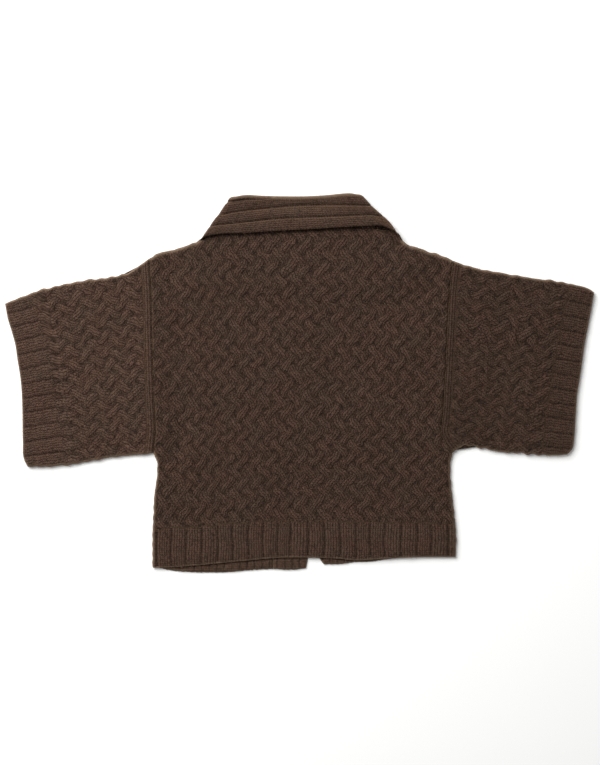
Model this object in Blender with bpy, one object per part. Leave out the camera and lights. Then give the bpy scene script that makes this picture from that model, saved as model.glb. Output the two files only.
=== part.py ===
"""A short-sleeved knitted shrug, laid out flat on a surface with its back up and its collar folded over.

+X runs across the shoulders, +Y up to the collar and +Z up from the surface; the origin is under the
middle of the garment. Wearer's left is at -X. The fronts lie on the surface, the back lies on them, and
the sleeves are flattened tubes. Cables and ribs are raised in the outer points of each wall.
"""

import math

import bmesh
import bpy
from mathutils import Vector
from mathutils.geometry import delaunay_2d_cdt

MM = 0.001  # every size and table below is in millimetres

# Walls and gaps, one above the other
SEAM_GAP = 0.3
FRONT_WALL = 3.0
BACK_WALL = 2.7
BACK_UNDERSIDE = FRONT_WALL + SEAM_GAP
BACK_BASE = BACK_UNDERSIDE + BACK_WALL
PANEL_GAP_MIDDLE = FRONT_WALL + SEAM_GAP / 2

# Knitting: six stitches to a rib and to a cable repeat
STITCH_WIDTH = 4.08
RIB_PITCH = 6 * STITCH_WIDTH
CABLE_ROW = 19.2
CABLE_RISE = 2.4
CABLE_PIT = 0.2
RIDGE_START = 0.25  # share of a cable row at which its upper strand reaches full height
RIB_RISE = 1.5
GROOVE_RISE = 0.2
GROOVE_HALF_WIDTH = 1.8
GROOVE_OVERSHOOT = 5.0
STRIP_RISE = 1.2
STRIP_WIDTH = 13.0
STRIP_LINE_HEIGHTS = (-160.0, -60.0, 20.0, 120.0, 230.0)

# Where the cable and the ribs of the body start
BODY_CABLE_ORIGIN = (-5.7, -209.6)
BODY_FIRST_GROOVE = -228.0
BODY_GROOVES = 20
BODY_COLUMNS = range(-11, 12)
BODY_ROWS = range(-1, 25)

# Sleeves: wales fan out from a centre far beyond each cuff
SLEEVE_GROOVES = 11
SLEEVE_COLUMNS = range(-2, 14)
SLEEVE_CABLE_ROW = 19.8
SLEEVE_ROWS = range(0, 10)
CUFF_GROOVE_LENGTH = 70.0
HOLLOW_MARGIN = 3.2
HOLLOW_OVERSHOOT = 6.0

# The collar's front fold lies under the fronts, so the panels rise over it near the neck
COLLAR_LIFT = 4.3
LIFT_OUTER = {"left": -215.0, "right": 220.0, "low": 112.0}
LIFT_INNER = {"left": -157.0, "right": 164.0, "low": 166.0}
LIFT_TOP = 320.0

# Outlines, as x, y from one end to the other
BACK_HEM = (
    (-234.8, -295.3), (-202.5, -294.3), (-164.0, -291.3), (-111.0, -286.3), (-79.0, -283.3), (-36.0, -279.5),
    (17.0, -279.0), (60.0, -280.5), (92.0, -283.3), (133.5, -280.7), (197.5, -278.0), (249.3, -278.0),
)
RIB_TOP = (
    (-245.0, -235.0), (-159.0, -229.0), (-79.0, -222.5), (1.0, -221.0), (129.0, -222.5), (255.0, -225.0),
)
LEFT_SIDE = (
    (-235.0, -259.0), (-234.5, -227.0), (-232.8, -195.0), (-230.5, -168.0), (-228.3, -153.0),
    (-228.0, -126.0),
)
LEFT_ARMHOLE = (
    (-233.5, -111.5), (-230.0, -81.5), (-232.0, -27.0), (-235.0, 69.0), (-237.0, 155.0), (-240.0, 199.0),
)
LEFT_SHOULDER = ((-227.0, 206.5), (-202.5, 213.0), (-175.0, 220.5), (-159.0, 227.0), (-140.0, 233.5))
RIGHT_SIDE = ((250.3, -251.0), (248.0, -219.0), (244.8, -187.0), (242.4, -163.0), (241.0, -131.0))
RIGHT_ARMHOLE = (
    (244.5, -111.5), (232.0, -95.0), (225.5, -75.0), (227.0, -65.5), (232.0, 5.0), (236.0, 85.0),
    (241.0, 165.0), (245.0, 195.5),
)
RIGHT_SHOULDER = ((226.5, 204.0), (199.0, 212.0), (177.0, 220.0), (164.0, 226.5), (146.5, 233.5))
BACK_NECK = ((-112.0, 246.0), (-101.5, 253.0), (-87.0, 255.5), (1.0, 257.5), (89.0, 258.5), (119.0, 246.0))
LEFT_FRONT_NECK = ((-112.0, 246.0), (-103.0, 229.0), (-87.0, 213.0), (-66.5, 201.0), (-42.5, 194.5))
RIGHT_FRONT_NECK = ((119.0, 246.0), (110.5, 229.0), (94.5, 213.0), (79.0, 201.5), (77.3, 194.5))
LEFT_FRONT_HEM = (
    (-231.0, -294.0), (-213.5, -298.2), (-170.5, -302.4), (-148.0, -302.8), (-116.0, -302.4),
    (-79.0, -299.2), (-42.5, -297.2),
)
RIGHT_FRONT_HEM = ((87.3, -286.5), (116.0, -285.2), (133.5, -282.9), (193.0, -275.5), (244.0, -274.5))
LEFT_BAND = (
    (-42.2, -297.2), (-15.0, -298.7), (5.5, -296.7), (10.5, -295.5), (13.5, -280.0), (16.0, -187.0),
    (17.0, 194.5), (-42.2, 194.5),
)
RIGHT_BAND = (
    (22.5, 194.5), (25.0, -187.0), (32.0, -281.0), (39.0, -290.0), (60.0, -289.5), (87.0, -286.5),
    (77.0, 194.5),
)
SLEEVES = {
    "left_sleeve": {
        "side": -1,
        "armhole": LEFT_ARMHOLE,
        "fan_centre": (-2076.0, -329.5),
        "rib_radius": 1714.0,
        "first_groove_deg": 7.42,
        "groove_step_deg": 0.788,
        "fold": (
            (-253.5, 189.0), (-264.0, 181.5), (-276.0, 176.0), (-292.0, 171.5), (-322.5, 166.5),
            (-346.5, 163.5), (-383.0, 156.5), (-415.0, 148.5), (-436.0, 140.5), (-458.5, 132.0),
            (-470.5, 127.0),
        ),
        "cuff": (
            (-465.5, 101.0), (-460.5, 85.0), (-454.0, 61.0), (-450.5, 37.0), (-446.5, 13.0), (-444.0, -11.0),
            (-442.8, -43.0), (-442.0, -91.0), (-439.8, -122.5),
        ),
        "underarm": (
            (-434.0, -134.0), (-399.0, -134.0), (-380.0, -132.3), (-351.0, -127.8), (-322.5, -122.8),
            (-293.5, -118.3), (-274.5, -116.0), (-245.5, -113.5),
        ),
    },
    "right_sleeve": {
        "side": 1,
        "armhole": RIGHT_ARMHOLE,
        "fan_centre": (2593.0, -336.0),
        "rib_radius": 2217.0,
        "first_groove_deg": 6.1,
        "groove_step_deg": 0.61,
        "fold": (
            (265.0, 188.5), (292.0, 182.0), (311.0, 178.0), (349.5, 171.5), (388.0, 166.0), (407.0, 163.5),
            (436.0, 157.5), (465.0, 149.5), (470.5, 145.0),
        ),
        "cuff": (
            (467.3, 125.0), (462.2, 97.5), (455.2, 61.0), (451.5, 33.5), (447.8, 8.0), (443.4, -19.0),
            (441.8, -43.0), (440.2, -67.0), (438.5, -91.0), (435.8, -105.0),
        ),
        "underarm": (
            (427.5, -114.3), (388.0, -115.5), (353.0, -112.8), (330.5, -110.7), (311.0, -108.3),
            (292.0, -104.3), (273.0, -101.0), (263.0, -101.0), (254.5, -104.5),
        ),
    },
}

# The collar is one ribbed strip: a stand from the neck seam up to the fold, and a fall back down from it.
# Columns: fold x, y; free edge x, y; neck seam x, y; share of the fall at its two grooves; edge's curl up
COLLAR_BACK = (
    (-104.0, 295.5, -145.0, 232.5, -111.0, 247.5, 0.39, 0.69, 0.0),
    (-86.0, 298.5, -122.0, 235.8, -101.0, 254.2, 0.37, 0.68, 0.0),
    (-60.0, 299.0, -88.0, 237.5, -86.0, 256.7, 0.34, 0.67, 0.3),
    (-25.0, 298.3, -39.0, 240.5, -40.0, 257.9, 0.28, 0.63, 0.6),
    (10.0, 298.3, 17.0, 244.0, 10.0, 258.8, 0.26, 0.62, 0.9),
    (40.0, 299.8, 65.0, 247.0, 50.0, 259.2, 0.25, 0.60, 1.6),
    (70.0, 302.8, 110.0, 249.2, 89.0, 259.7, 0.24, 0.57, 2.6),
    (84.0, 302.6, 134.0, 246.8, 104.0, 253.4, 0.24, 0.55, 3.0),
    (94.5, 300.5, 149.0, 237.0, 118.0, 247.5, 0.25, 0.53, 3.4),
)
COLLAR_FRONT_LEFT = (
    (17.0, 239.0, 17.0, 173.0, 17.0, 195.3, 0.38, 0.68, 0.0),
    (-32.0, 240.0, -44.0, 174.0, -42.5, 195.3, 0.38, 0.68, 0.0),
    (-52.0, 246.0, -70.0, 178.0, -66.0, 201.9, 0.38, 0.68, 0.0),
    (-74.0, 257.0, -98.0, 190.0, -86.3, 213.9, 0.38, 0.68, 0.0),
    (-92.0, 272.0, -120.0, 212.0, -102.2, 229.9, 0.38, 0.68, 0.0),
    (-104.0, 295.5, -145.0, 232.5, -111.0, 247.5, 0.39, 0.69, 0.0),
)
COLLAR_FRONT_RIGHT = (
    (94.5, 300.5, 149.0, 237.0, 118.0, 247.5, 0.25, 0.53, 0.0),
    (99.0, 272.0, 126.0, 214.0, 109.7, 229.9, 0.30, 0.60, 0.0),
    (82.0, 257.0, 104.0, 190.0, 93.7, 213.9, 0.38, 0.68, 0.0),
    (62.0, 246.5, 80.0, 178.0, 78.4, 202.4, 0.38, 0.68, 0.0),
    (45.0, 240.0, 58.0, 174.0, 64.5, 195.3, 0.38, 0.68, 0.0),
    (22.5, 239.0, 22.5, 173.0, 22.5, 195.3, 0.38, 0.68, 0.0),
)
# Distance of each collar layer from the middle of the flattened neck, at the back and at the front
COLLAR_LAYERS = {
    "stand_inner": {"back": 0.15, "front": 0.15},
    "stand_outer": {"back": 2.85, "front": 3.15},
    "fall_inner": {"back": 5.55, "front": 3.45},
    "fall_outer": {"back": 10.2, "front": 7.45},
}
COLLAR_TURN_DEG = (-45.0, 0.0, 45.0)
OUTER_FOLD_DEG = (20, 55, 90, 125, 160)
INNER_FOLD_DEG = (170, 90, 10)
FOLD_BULGE = 5.0
INNER_FOLD_DEPTH = 4.0
INNER_FOLD_BULGE = 1.2
COLLAR_GROOVE_DEPTH = 1.6
COLLAR_GROOVE_SHARE = 0.045
COLLAR_EDGE_SHARE = 0.04

WOOL_BROWN = (0.052, 0.033, 0.024, 1.0)
WOOL_ROUGHNESS = 0.95

SAME_POINT = 1e-3


def clear_scene():
    for existing in list(bpy.data.objects):
        bpy.data.objects.remove(existing, do_unlink=True)


def wool(name):
    material = bpy.data.materials.new(name)
    material.use_nodes = True
    shader = material.node_tree.nodes["Principled BSDF"]
    shader.inputs["Base Color"].default_value = WOOL_BROWN
    shader.inputs["Roughness"].default_value = WOOL_ROUGHNESS
    shader.inputs["Metallic"].default_value = 0.0
    return material


def add_object(name, shape):
    """Makes the scene object of a finished bmesh whose points are in millimetres."""
    bmesh.ops.recalc_face_normals(shape, faces=shape.faces)
    bmesh.ops.scale(shape, vec=(MM, MM, MM), verts=shape.verts)
    mesh = bpy.data.meshes.new(name)
    shape.to_mesh(mesh)
    shape.free()
    mesh.materials.append(wool(name + "_wool"))
    piece = bpy.data.objects.new(name, mesh)
    bpy.context.scene.collection.objects.link(piece)
    return piece


def lerp(a, b, share):
    return a + (b - a) * share


def along_line(line, x):
    """Height of a line of points at x; the points run from low x to high x."""
    for (x0, y0), (x1, y1) in zip(line, line[1:]):
        if x <= x1:
            break
    return lerp(y0, y1, (x - x0) / (x1 - x0))


def across_line(line, y):
    """x of a line of points at y; the points run from low y to high y."""
    return along_line([(b, a) for a, b in line], y)


def ramp(value, start, end):
    return min(1.0, max(0.0, (value - start) / (end - start)))


def collar_lift(x, y):
    """How far the panels rise to clear the collar's front fold: a flat top with three plane flanks."""
    flanks = (
        ramp(x, LIFT_OUTER["left"], LIFT_INNER["left"]),
        ramp(x, LIFT_OUTER["right"], LIFT_INNER["right"]),
        ramp(y, LIFT_OUTER["low"], LIFT_INNER["low"]),
    )
    return COLLAR_LIFT * min(flanks)


def lift_creases():
    """The straight lines along which collar_lift changes its slope."""
    creases = []
    for ring in (LIFT_OUTER, LIFT_INNER):
        low_left = (ring["left"], ring["low"])
        low_right = (ring["right"], ring["low"])
        creases.append((low_left, low_right))
        creases.append((low_left, (ring["left"], LIFT_TOP)))
        creases.append((low_right, (ring["right"], LIFT_TOP)))
    for side in ("left", "right"):
        creases.append(((LIFT_OUTER[side], LIFT_OUTER["low"]), (LIFT_INNER[side], LIFT_INNER["low"])))
    return creases


def cable_crossing(column, row):
    """Lines of one cable crossing, in repeats and rows: the upper strand's edges and its ridge."""
    left = column + 0.5 * (row % 2)
    foot, head = (left, left + 0.5) if row % 2 == 0 else (left + 0.5, left)
    lower = ((foot, row), (foot + 0.5, row))
    upper = ((head, row + 1), (head + 0.5, row + 1))
    ridge = []
    for share in (RIDGE_START, 1 - RIDGE_START):
        ridge.append((lerp(foot, head, share) + 0.25, row + share))
    return (lower, upper, (lower[0], upper[0]), (lower[1], upper[1]), tuple(ridge))


def cable_height(across, along):
    """Rise of the cable over the wall's base: a hipped ridge along each crossing's upper strand."""
    row = math.floor(along)
    share = along - row
    place = (across - 0.5 * (row % 2)) % 1.0
    middle = 0.25 + 0.5 * share if row % 2 == 0 else 0.75 - 0.5 * share
    flank = 1 - abs(place - middle) / 0.25
    end = min(share, 1 - share) / RIDGE_START
    return lerp(CABLE_PIT, CABLE_RISE, max(0.0, min(flank, end, 1.0)))


def cable_lines(columns, rows, to_plan, wanted):
    """Plan lines of every crossing whose middle is wanted."""
    lines = []
    for row in rows:
        for column in columns:
            middle = to_plan(column + 0.5 + 0.5 * (row % 2), row + 0.5)
            if wanted(*middle):
                for a, b in cable_crossing(column, row):
                    lines.append((to_plan(*a), to_plan(*b)))
    return lines


def rib_height(distance):
    """Rise of a rib at a distance from the nearest groove's middle."""
    return lerp(GROOVE_RISE, RIB_RISE, min(1.0, distance / GROOVE_HALF_WIDTH))


def is_inside(outline, point):
    x, y = point
    inside = False
    for (x0, y0), (x1, y1) in zip(outline, outline[1:] + outline[:1]):
        if (y0 > y) != (y1 > y) and x < lerp(x0, x1, (y - y0) / (y1 - y0)):
            inside = not inside
    return inside


def triangles_in(outline, lines):
    """Triangles that fill an outline and follow the lines, with the outline points each point came from."""
    places = [tuple(point) for point in outline]
    index = {(round(x, 3), round(y, 3)): i for i, (x, y) in enumerate(places)}
    edges = [(i, (i + 1) % len(places)) for i in range(len(places))]
    for line in lines:
        ends = []
        for x, y in line:
            key = (round(x, 3), round(y, 3))
            if key not in index:
                index[key] = len(places)
                places.append((x, y))
            ends.append(index[key])
        if ends[0] != ends[1]:
            edges.append(tuple(ends))
    found = delaunay_2d_cdt([Vector(place) for place in places], edges, [], 0, SAME_POINT)
    points = [(point.x, point.y) for point in found[0]]
    triangles = []
    for triangle in found[2]:
        corners = [points[i] for i in triangle]
        middle = (sum(x for x, _ in corners) / 3, sum(y for _, y in corners) / 3)
        if is_inside(list(outline), middle):
            triangles.append(tuple(triangle))
    sources = [[i for i in origin if i < len(outline)] for origin in found[3]]
    return points, triangles, sources


def rim_of(triangles):
    """The points round the edge of the triangles, in order."""
    directed = set()
    for a, b, c in triangles:
        directed |= {(a, b), (b, c), (c, a)}
    following = {a: b for a, b in directed if (b, a) not in directed}
    rim = [next(iter(sorted(following)))]
    while following[rim[-1]] != rim[0]:
        rim.append(following[rim[-1]])
    return rim


def add_panel(name, outline, lines, top, bottom):
    """A closed wall over an outline, with its upper and lower faces at top(x, y) and bottom(x, y)."""
    points, triangles, _ = triangles_in(outline, lines)
    rim = rim_of(triangles)
    rim_outline = [points[i] for i in rim]
    under_points, under_triangles, sources = triangles_in(rim_outline, lift_creases())

    shape = bmesh.new()
    upper = {}
    for i in sorted({i for triangle in triangles for i in triangle}):
        upper[i] = shape.verts.new((*points[i], top(*points[i])))
    rim_lower = [shape.verts.new((x, y, bottom(x, y))) for x, y in rim_outline]
    lower = {}
    for i in sorted({i for triangle in under_triangles for i in triangle}):
        x, y = under_points[i]
        lower[i] = rim_lower[sources[i][0]] if sources[i] else shape.verts.new((x, y, bottom(x, y)))
    for triangle in triangles:
        shape.faces.new([upper[i] for i in triangle])
    for triangle in under_triangles:
        shape.faces.new([lower[i] for i in reversed(triangle)])
    for k in range(len(rim)):
        following = (k + 1) % len(rim)
        shape.faces.new((upper[rim[following]], upper[rim[k]], rim_lower[k], rim_lower[following]))
    return add_object(name, shape)


def shifted(line, x):
    return tuple((px + x, py) for px, py in line)


def back_outline():
    return (
        BACK_HEM + RIGHT_SIDE + RIGHT_ARMHOLE + RIGHT_SHOULDER + BACK_NECK[::-1] + LEFT_SHOULDER[::-1]
        + LEFT_ARMHOLE[::-1] + LEFT_SIDE[::-1]
    )


def body_plan(across, along):
    """Plan place of a cable point on the back; the lowest row is squeezed down to the top of the ribs."""
    x = BODY_CABLE_ORIGIN[0] + RIB_PITCH * across
    if along >= 0:
        return (x, BODY_CABLE_ORIGIN[1] + CABLE_ROW * along)
    return (x, lerp(BODY_CABLE_ORIGIN[1], along_line(RIB_TOP, x), -along))


def back_relief(x, y):
    rib_top = along_line(RIB_TOP, x)
    if y <= rib_top + SAME_POINT:
        place = (x - BODY_FIRST_GROOVE) % RIB_PITCH
        return rib_height(min(place, RIB_PITCH - place))
    low = BODY_CABLE_ORIGIN[1]
    along = (y - low) / CABLE_ROW if y >= low else -(low - y) / (low - rib_top)
    return cable_height((x - BODY_CABLE_ORIGIN[0]) / RIB_PITCH, along)


def add_back():
    lines = lift_creases() + list(zip(RIB_TOP, RIB_TOP[1:]))
    for k in range(BODY_GROOVES):
        for offset in (-GROOVE_HALF_WIDTH, 0.0, GROOVE_HALF_WIDTH):
            x = BODY_FIRST_GROOVE + k * RIB_PITCH + offset
            lines.append(((x, BACK_HEM[0][1] - GROOVE_OVERSHOOT), (x, along_line(RIB_TOP, x))))
    outline = back_outline()
    highest = max(y for _, y in outline)
    lines += cable_lines(
        BODY_COLUMNS,
        BODY_ROWS,
        body_plan,
        lambda x, y: LEFT_ARMHOLE[-1][0] - RIB_PITCH < x < RIGHT_SIDE[0][0] + RIB_PITCH and y < highest,
    )
    add_panel(
        "back",
        outline,
        lines,
        lambda x, y: BACK_BASE + collar_lift(x, y) + back_relief(x, y),
        lambda x, y: BACK_UNDERSIDE + collar_lift(x, y),
    )


def front_top(x, y):
    return FRONT_WALL + collar_lift(x, y)


def add_fronts():
    left_up = LEFT_SIDE + LEFT_ARMHOLE + LEFT_SHOULDER + LEFT_FRONT_NECK
    right_up = RIGHT_SIDE + RIGHT_ARMHOLE + RIGHT_SHOULDER + RIGHT_FRONT_NECK
    plans = {
        "left_front": LEFT_FRONT_HEM + left_up[::-1],
        "right_front": RIGHT_FRONT_HEM + right_up,
        "left_band": LEFT_BAND,
        "right_band": RIGHT_BAND,
    }
    for name, outline in plans.items():
        add_panel(name, outline, lift_creases(), front_top, collar_lift)


def add_sleeve(name, sleeve):
    side = sleeve["side"]
    centre_x, centre_y = sleeve["fan_centre"]
    armhole = shifted(sleeve["armhole"], side * SEAM_GAP)
    outline = armhole + sleeve["fold"] + sleeve["cuff"] + sleeve["underarm"]
    groove_step = math.radians(sleeve["groove_step_deg"])
    first_groove = math.radians(sleeve["first_groove_deg"])

    def to_plan(across, along):
        angle = first_groove + across * groove_step
        radius = sleeve["rib_radius"] + along * SLEEVE_CABLE_ROW
        return (centre_x - side * radius * math.cos(angle), centre_y + radius * math.sin(angle))

    def from_plan(x, y):
        dx = -side * (x - centre_x)
        dy = y - centre_y
        across = (math.atan2(dy, dx) - first_groove) / groove_step
        return across, (math.hypot(dx, dy) - sleeve["rib_radius"]) / SLEEVE_CABLE_ROW

    def in_strip(x, y):
        return side * (x - across_line(armhole, y)) < STRIP_WIDTH

    def relief(x, y):
        across, along = from_plan(x, y)
        if in_strip(x, y):
            return STRIP_RISE
        if along <= SAME_POINT:
            place = across % 1.0
            radius = sleeve["rib_radius"] + along * SLEEVE_CABLE_ROW
            return rib_height(min(place, 1 - place) * groove_step * radius)
        return cable_height(across, along)

    lines = []
    strip_line = [(across_line(armhole, y) + side * STRIP_WIDTH, y) for y in STRIP_LINE_HEIGHTS]
    lines += list(zip(strip_line, strip_line[1:]))
    rib_line = [to_plan(across, 0.0) for across in SLEEVE_COLUMNS]
    lines += list(zip(rib_line, rib_line[1:]))
    cuff_reach = -CUFF_GROOVE_LENGTH / SLEEVE_CABLE_ROW
    for k in range(SLEEVE_GROOVES):
        half = GROOVE_HALF_WIDTH / (groove_step * sleeve["rib_radius"])
        for offset in (-half, 0.0, half):
            lines.append((to_plan(k + offset, cuff_reach), to_plan(k + offset, 0.0)))
    lines += cable_lines(SLEEVE_COLUMNS, SLEEVE_ROWS, to_plan, lambda x, y: not in_strip(x, y))
    piece = add_panel(name, outline, lines, lambda x, y: BACK_BASE + relief(x, y), lambda x, y: 0.0)
    hollow = add_hollow(name + "_hollow", sleeve, armhole)
    cut = piece.modifiers.new("hollow", "BOOLEAN")
    cut.operation = "DIFFERENCE"
    cut.solver = "EXACT"
    cut.object = hollow


def add_hollow(name, sleeve, armhole):
    """Cutter for the flattened space inside a sleeve: open at the cuff and at the armhole."""
    side = sleeve["side"]
    low = [(x, y + HOLLOW_MARGIN) for x, y in (armhole[0], *sleeve["underarm"][::-1])]
    high = [(x, y - HOLLOW_MARGIN) for x, y in (*sleeve["fold"][::-1], armhole[-1])]
    reach = side * HOLLOW_OVERSHOOT
    cuff = [(x + reach, y) for x, y in sleeve["cuff"][::-1]]
    seam = [(x - reach, y) for x, y in armhole[::-1]]
    outline = low + cuff + high + seam
    shape = bmesh.new()
    floor = [shape.verts.new((x, y, FRONT_WALL)) for x, y in outline]
    roof = [shape.verts.new((x, y, BACK_UNDERSIDE)) for x, y in outline]
    shape.faces.new(floor)
    shape.faces.new(roof[::-1])
    for k in range(len(outline)):
        following = (k + 1) % len(outline)
        shape.faces.new((floor[k], floor[following], roof[following], roof[k]))
    cutter = add_object(name, shape)
    cutter.hide_render = True
    cutter.display_type = "WIRE"
    return cutter


def collar_section(row):
    """Points round the collar's wall at one place along it: part, share of that part, layer, offset."""
    fold_x, fold_y, free_x, free_y, seam_x, seam_y, groove_1, groove_2, _ = row
    stand_length = math.hypot(seam_x - fold_x, seam_y - fold_y)
    fall_length = math.hypot(free_x - fold_x, free_y - fold_y)
    points = [("stand", 1.0, "stand_inner", 0.0), ("stand", 0.5, "stand_inner", 0.0)]
    for degrees in OUTER_FOLD_DEG:
        part, length = ("stand", stand_length) if degrees < 90 else ("fall", fall_length)
        depth = FOLD_BULGE * (1 - math.sin(math.radians(degrees)))
        points.append((part, depth / length, "outer_fold", degrees))
    start = FOLD_BULGE / fall_length
    for groove in (groove_1, groove_2):
        points.append(("fall", (start + groove) / 2, "fall_outer", 0.0))
        points.append(("fall", groove - COLLAR_GROOVE_SHARE, "fall_outer", 0.0))
        points.append(("fall", groove, "fall_outer", -COLLAR_GROOVE_DEPTH))
        points.append(("fall", groove + COLLAR_GROOVE_SHARE, "fall_outer", 0.0))
        start = groove
    points.append(("fall", (groove_2 + 1) / 2, "fall_outer", 0.0))
    points.append(("fall", 1 - COLLAR_EDGE_SHARE, "fall_outer", 0.0))
    points.append(("fall", 1.0, "edge", 0.0))
    points.append(("fall", 1 - COLLAR_EDGE_SHARE, "fall_inner", 0.0))
    points.append(("fall", 0.5, "fall_inner", 0.0))
    for degrees in INNER_FOLD_DEG:
        part, length = ("stand", stand_length) if degrees < 90 else ("fall", fall_length)
        depth = INNER_FOLD_DEPTH + INNER_FOLD_BULGE * (1 - math.sin(math.radians(degrees)))
        points.append((part, depth / length, "inner_fold", degrees))
    points.append(("stand", 0.5, "stand_outer", 0.0))
    points.append(("stand", 1.0, "stand_outer", 0.0))
    return points


def layer_distance(layer, offset, where):
    """Distance of a section point from the middle of the flattened neck."""
    depth = {name: layer_depths[where] for name, layer_depths in COLLAR_LAYERS.items()}
    if layer == "outer_fold":
        share = (1 - math.cos(math.radians(offset))) / 2
        return lerp(depth["stand_inner"], depth["fall_outer"], share)
    if layer == "inner_fold":
        share = (1 - math.cos(math.radians(offset))) / 2
        return lerp(depth["stand_outer"], depth["fall_inner"], share)
    if layer == "edge":
        return (depth["fall_inner"] + depth["fall_outer"]) / 2
    return depth[layer] + (offset if where == "back" else 0.0)


def collar_ring(shape, row, turn_deg, side):
    fold_x, fold_y, free_x, free_y, seam_x, seam_y, _, _, curl = row
    turn = math.radians(turn_deg)
    back_share = (1 + math.sin(turn)) / 2
    ring = []
    for part, share, layer, offset in collar_section(row):
        end_x, end_y = (seam_x, seam_y) if part == "stand" else (free_x, free_y)
        distance = lerp(
            layer_distance(layer, offset, "front"), layer_distance(layer, offset, "back"), back_share
        )
        if part == "fall":
            distance += curl * share * share * back_share
        x = lerp(fold_x, end_x, share) + side * distance * math.cos(turn)
        y = lerp(fold_y, end_y, share)
        z = COLLAR_LIFT + PANEL_GAP_MIDDLE + distance * math.sin(turn)
        ring.append(shape.verts.new((x, y, z)))
    return ring


def add_collar():
    shape = bmesh.new()
    rings = [collar_ring(shape, row, -90.0, 0) for row in COLLAR_FRONT_LEFT]
    for turn in COLLAR_TURN_DEG:
        rings.append(collar_ring(shape, COLLAR_BACK[0], turn, -1))
    rings += [collar_ring(shape, row, 90.0, 0) for row in COLLAR_BACK]
    for turn in COLLAR_TURN_DEG[::-1]:
        rings.append(collar_ring(shape, COLLAR_BACK[-1], turn, 1))
    rings += [collar_ring(shape, row, -90.0, 0) for row in COLLAR_FRONT_RIGHT]
    for first, second in zip(rings, rings[1:]):
        for k in range(len(first)):
            following = (k + 1) % len(first)
            shape.faces.new((first[k], first[following], second[following], second[k]))
    shape.faces.new(rings[0][::-1])
    shape.faces.new(rings[-1])
    add_object("collar", shape)


def main():
    clear_scene()
    add_back()
    add_fronts()
    for name, sleeve in SLEEVES.items():
        add_sleeve(name, sleeve)
    add_collar()


main()
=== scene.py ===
import math
from functools import partial

import bpy
import numpy as np
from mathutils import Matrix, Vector
from mathutils.geometry import delaunay_2d_cdt


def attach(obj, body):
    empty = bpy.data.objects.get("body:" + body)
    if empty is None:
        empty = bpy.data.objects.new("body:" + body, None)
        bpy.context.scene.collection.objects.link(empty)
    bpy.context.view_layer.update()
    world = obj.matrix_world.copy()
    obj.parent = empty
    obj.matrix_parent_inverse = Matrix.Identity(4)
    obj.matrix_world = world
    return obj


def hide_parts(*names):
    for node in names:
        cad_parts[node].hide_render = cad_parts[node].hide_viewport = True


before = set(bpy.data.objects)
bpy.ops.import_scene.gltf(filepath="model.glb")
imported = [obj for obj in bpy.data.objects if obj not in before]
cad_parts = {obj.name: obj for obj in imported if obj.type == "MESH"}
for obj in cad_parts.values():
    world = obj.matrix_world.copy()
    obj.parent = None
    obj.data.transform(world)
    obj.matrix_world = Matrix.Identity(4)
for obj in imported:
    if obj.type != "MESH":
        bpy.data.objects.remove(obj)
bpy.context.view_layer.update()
mm = 0.001  # tables and sizes below are in millimetres unless they say otherwise


def smoothLine(points, step=2.0):
    # a smooth curve through the points, with a point about every step mm
    p = np.array(points, float)
    ends = np.vstack([2 * p[0] - p[1], p, 2 * p[-1] - p[-2]])
    pieces = []
    for a, b, c, d in zip(ends, ends[1:], ends[2:], ends[3:]):
        before, span, after = (max(1e-6, float(np.linalg.norm(v))) for v in (b - a, c - b, d - c))
        leave = ((b - a) / before * span + (c - b) / span * before) / (before + span) * span
        arrive = ((c - b) / span * after + (d - c) / after * span) / (span + after) * span
        t = np.linspace(0, 1, max(2, round(span / step)), endpoint=False)[:, None]
        pieces.append(
            (2 * t**3 - 3 * t**2 + 1) * b + (t**3 - 2 * t**2 + t) * leave
            + (3 * t**2 - 2 * t**3) * c + (t**3 - t**2) * arrive
        )
    return np.vstack(pieces + [p[-1:]])


def joinLines(*lines):
    # one closed outline from lines that follow each other, without doubled points
    joined = np.vstack(lines)
    keep = np.linalg.norm(joined - np.roll(joined, 1, 0), axis=1) > 0.05
    return joined[keep]


def spread(line, shares):
    # points of a line at shares of its length
    line = np.asarray(line, float)
    walked = np.concatenate([[0], np.cumsum(np.linalg.norm(np.diff(line, axis=0), axis=1))])
    walked /= walked[-1]
    return np.stack([np.interp(shares, walked, line[:, k]) for k in range(line.shape[1])], -1)


def distanceTo(line, x, y):
    best = np.full(np.shape(x), 1e9)
    for (ax, ay), (bx, by) in zip(line[:-1], line[1:]):
        dx, dy = bx - ax, by - ay
        t = np.clip(((x - ax) * dx + (y - ay) * dy) / (dx * dx + dy * dy + 1e-12), 0, 1)
        np.minimum(best, (x - ax - t * dx) ** 2 + (y - ay - t * dy) ** 2, out=best)
    return np.sqrt(best)


def fromEnds(line, steps):
    # 0 at both ends of a line, and 1 from so many points on
    count = np.arange(len(line))
    return np.minimum(1, np.minimum(count, count[::-1]) / steps)


def isInside(outline, x, y):
    inside = np.zeros(np.shape(x), bool)
    for (ax, ay), (bx, by) in zip(outline, np.roll(outline, -1, 0)):
        if ay != by:
            inside ^= ((ay > y) != (by > y)) & (x < ax + (y - ay) * (bx - ax) / (by - ay))
    return inside


def softWaves(x, y, size, seed):
    # smooth unevenness between about -1 and 1, its bumps about size mm across
    dice = np.random.default_rng(seed)
    total = 0
    for _ in range(7):
        turn, phase = dice.uniform(0, 2 * math.pi, 2)
        length = size * dice.uniform(1.5, 3.2)
        total = total + np.sin(2 * math.pi * (x * math.cos(turn) + y * math.sin(turn)) / length + phase)
    return total / 2.6


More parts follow.
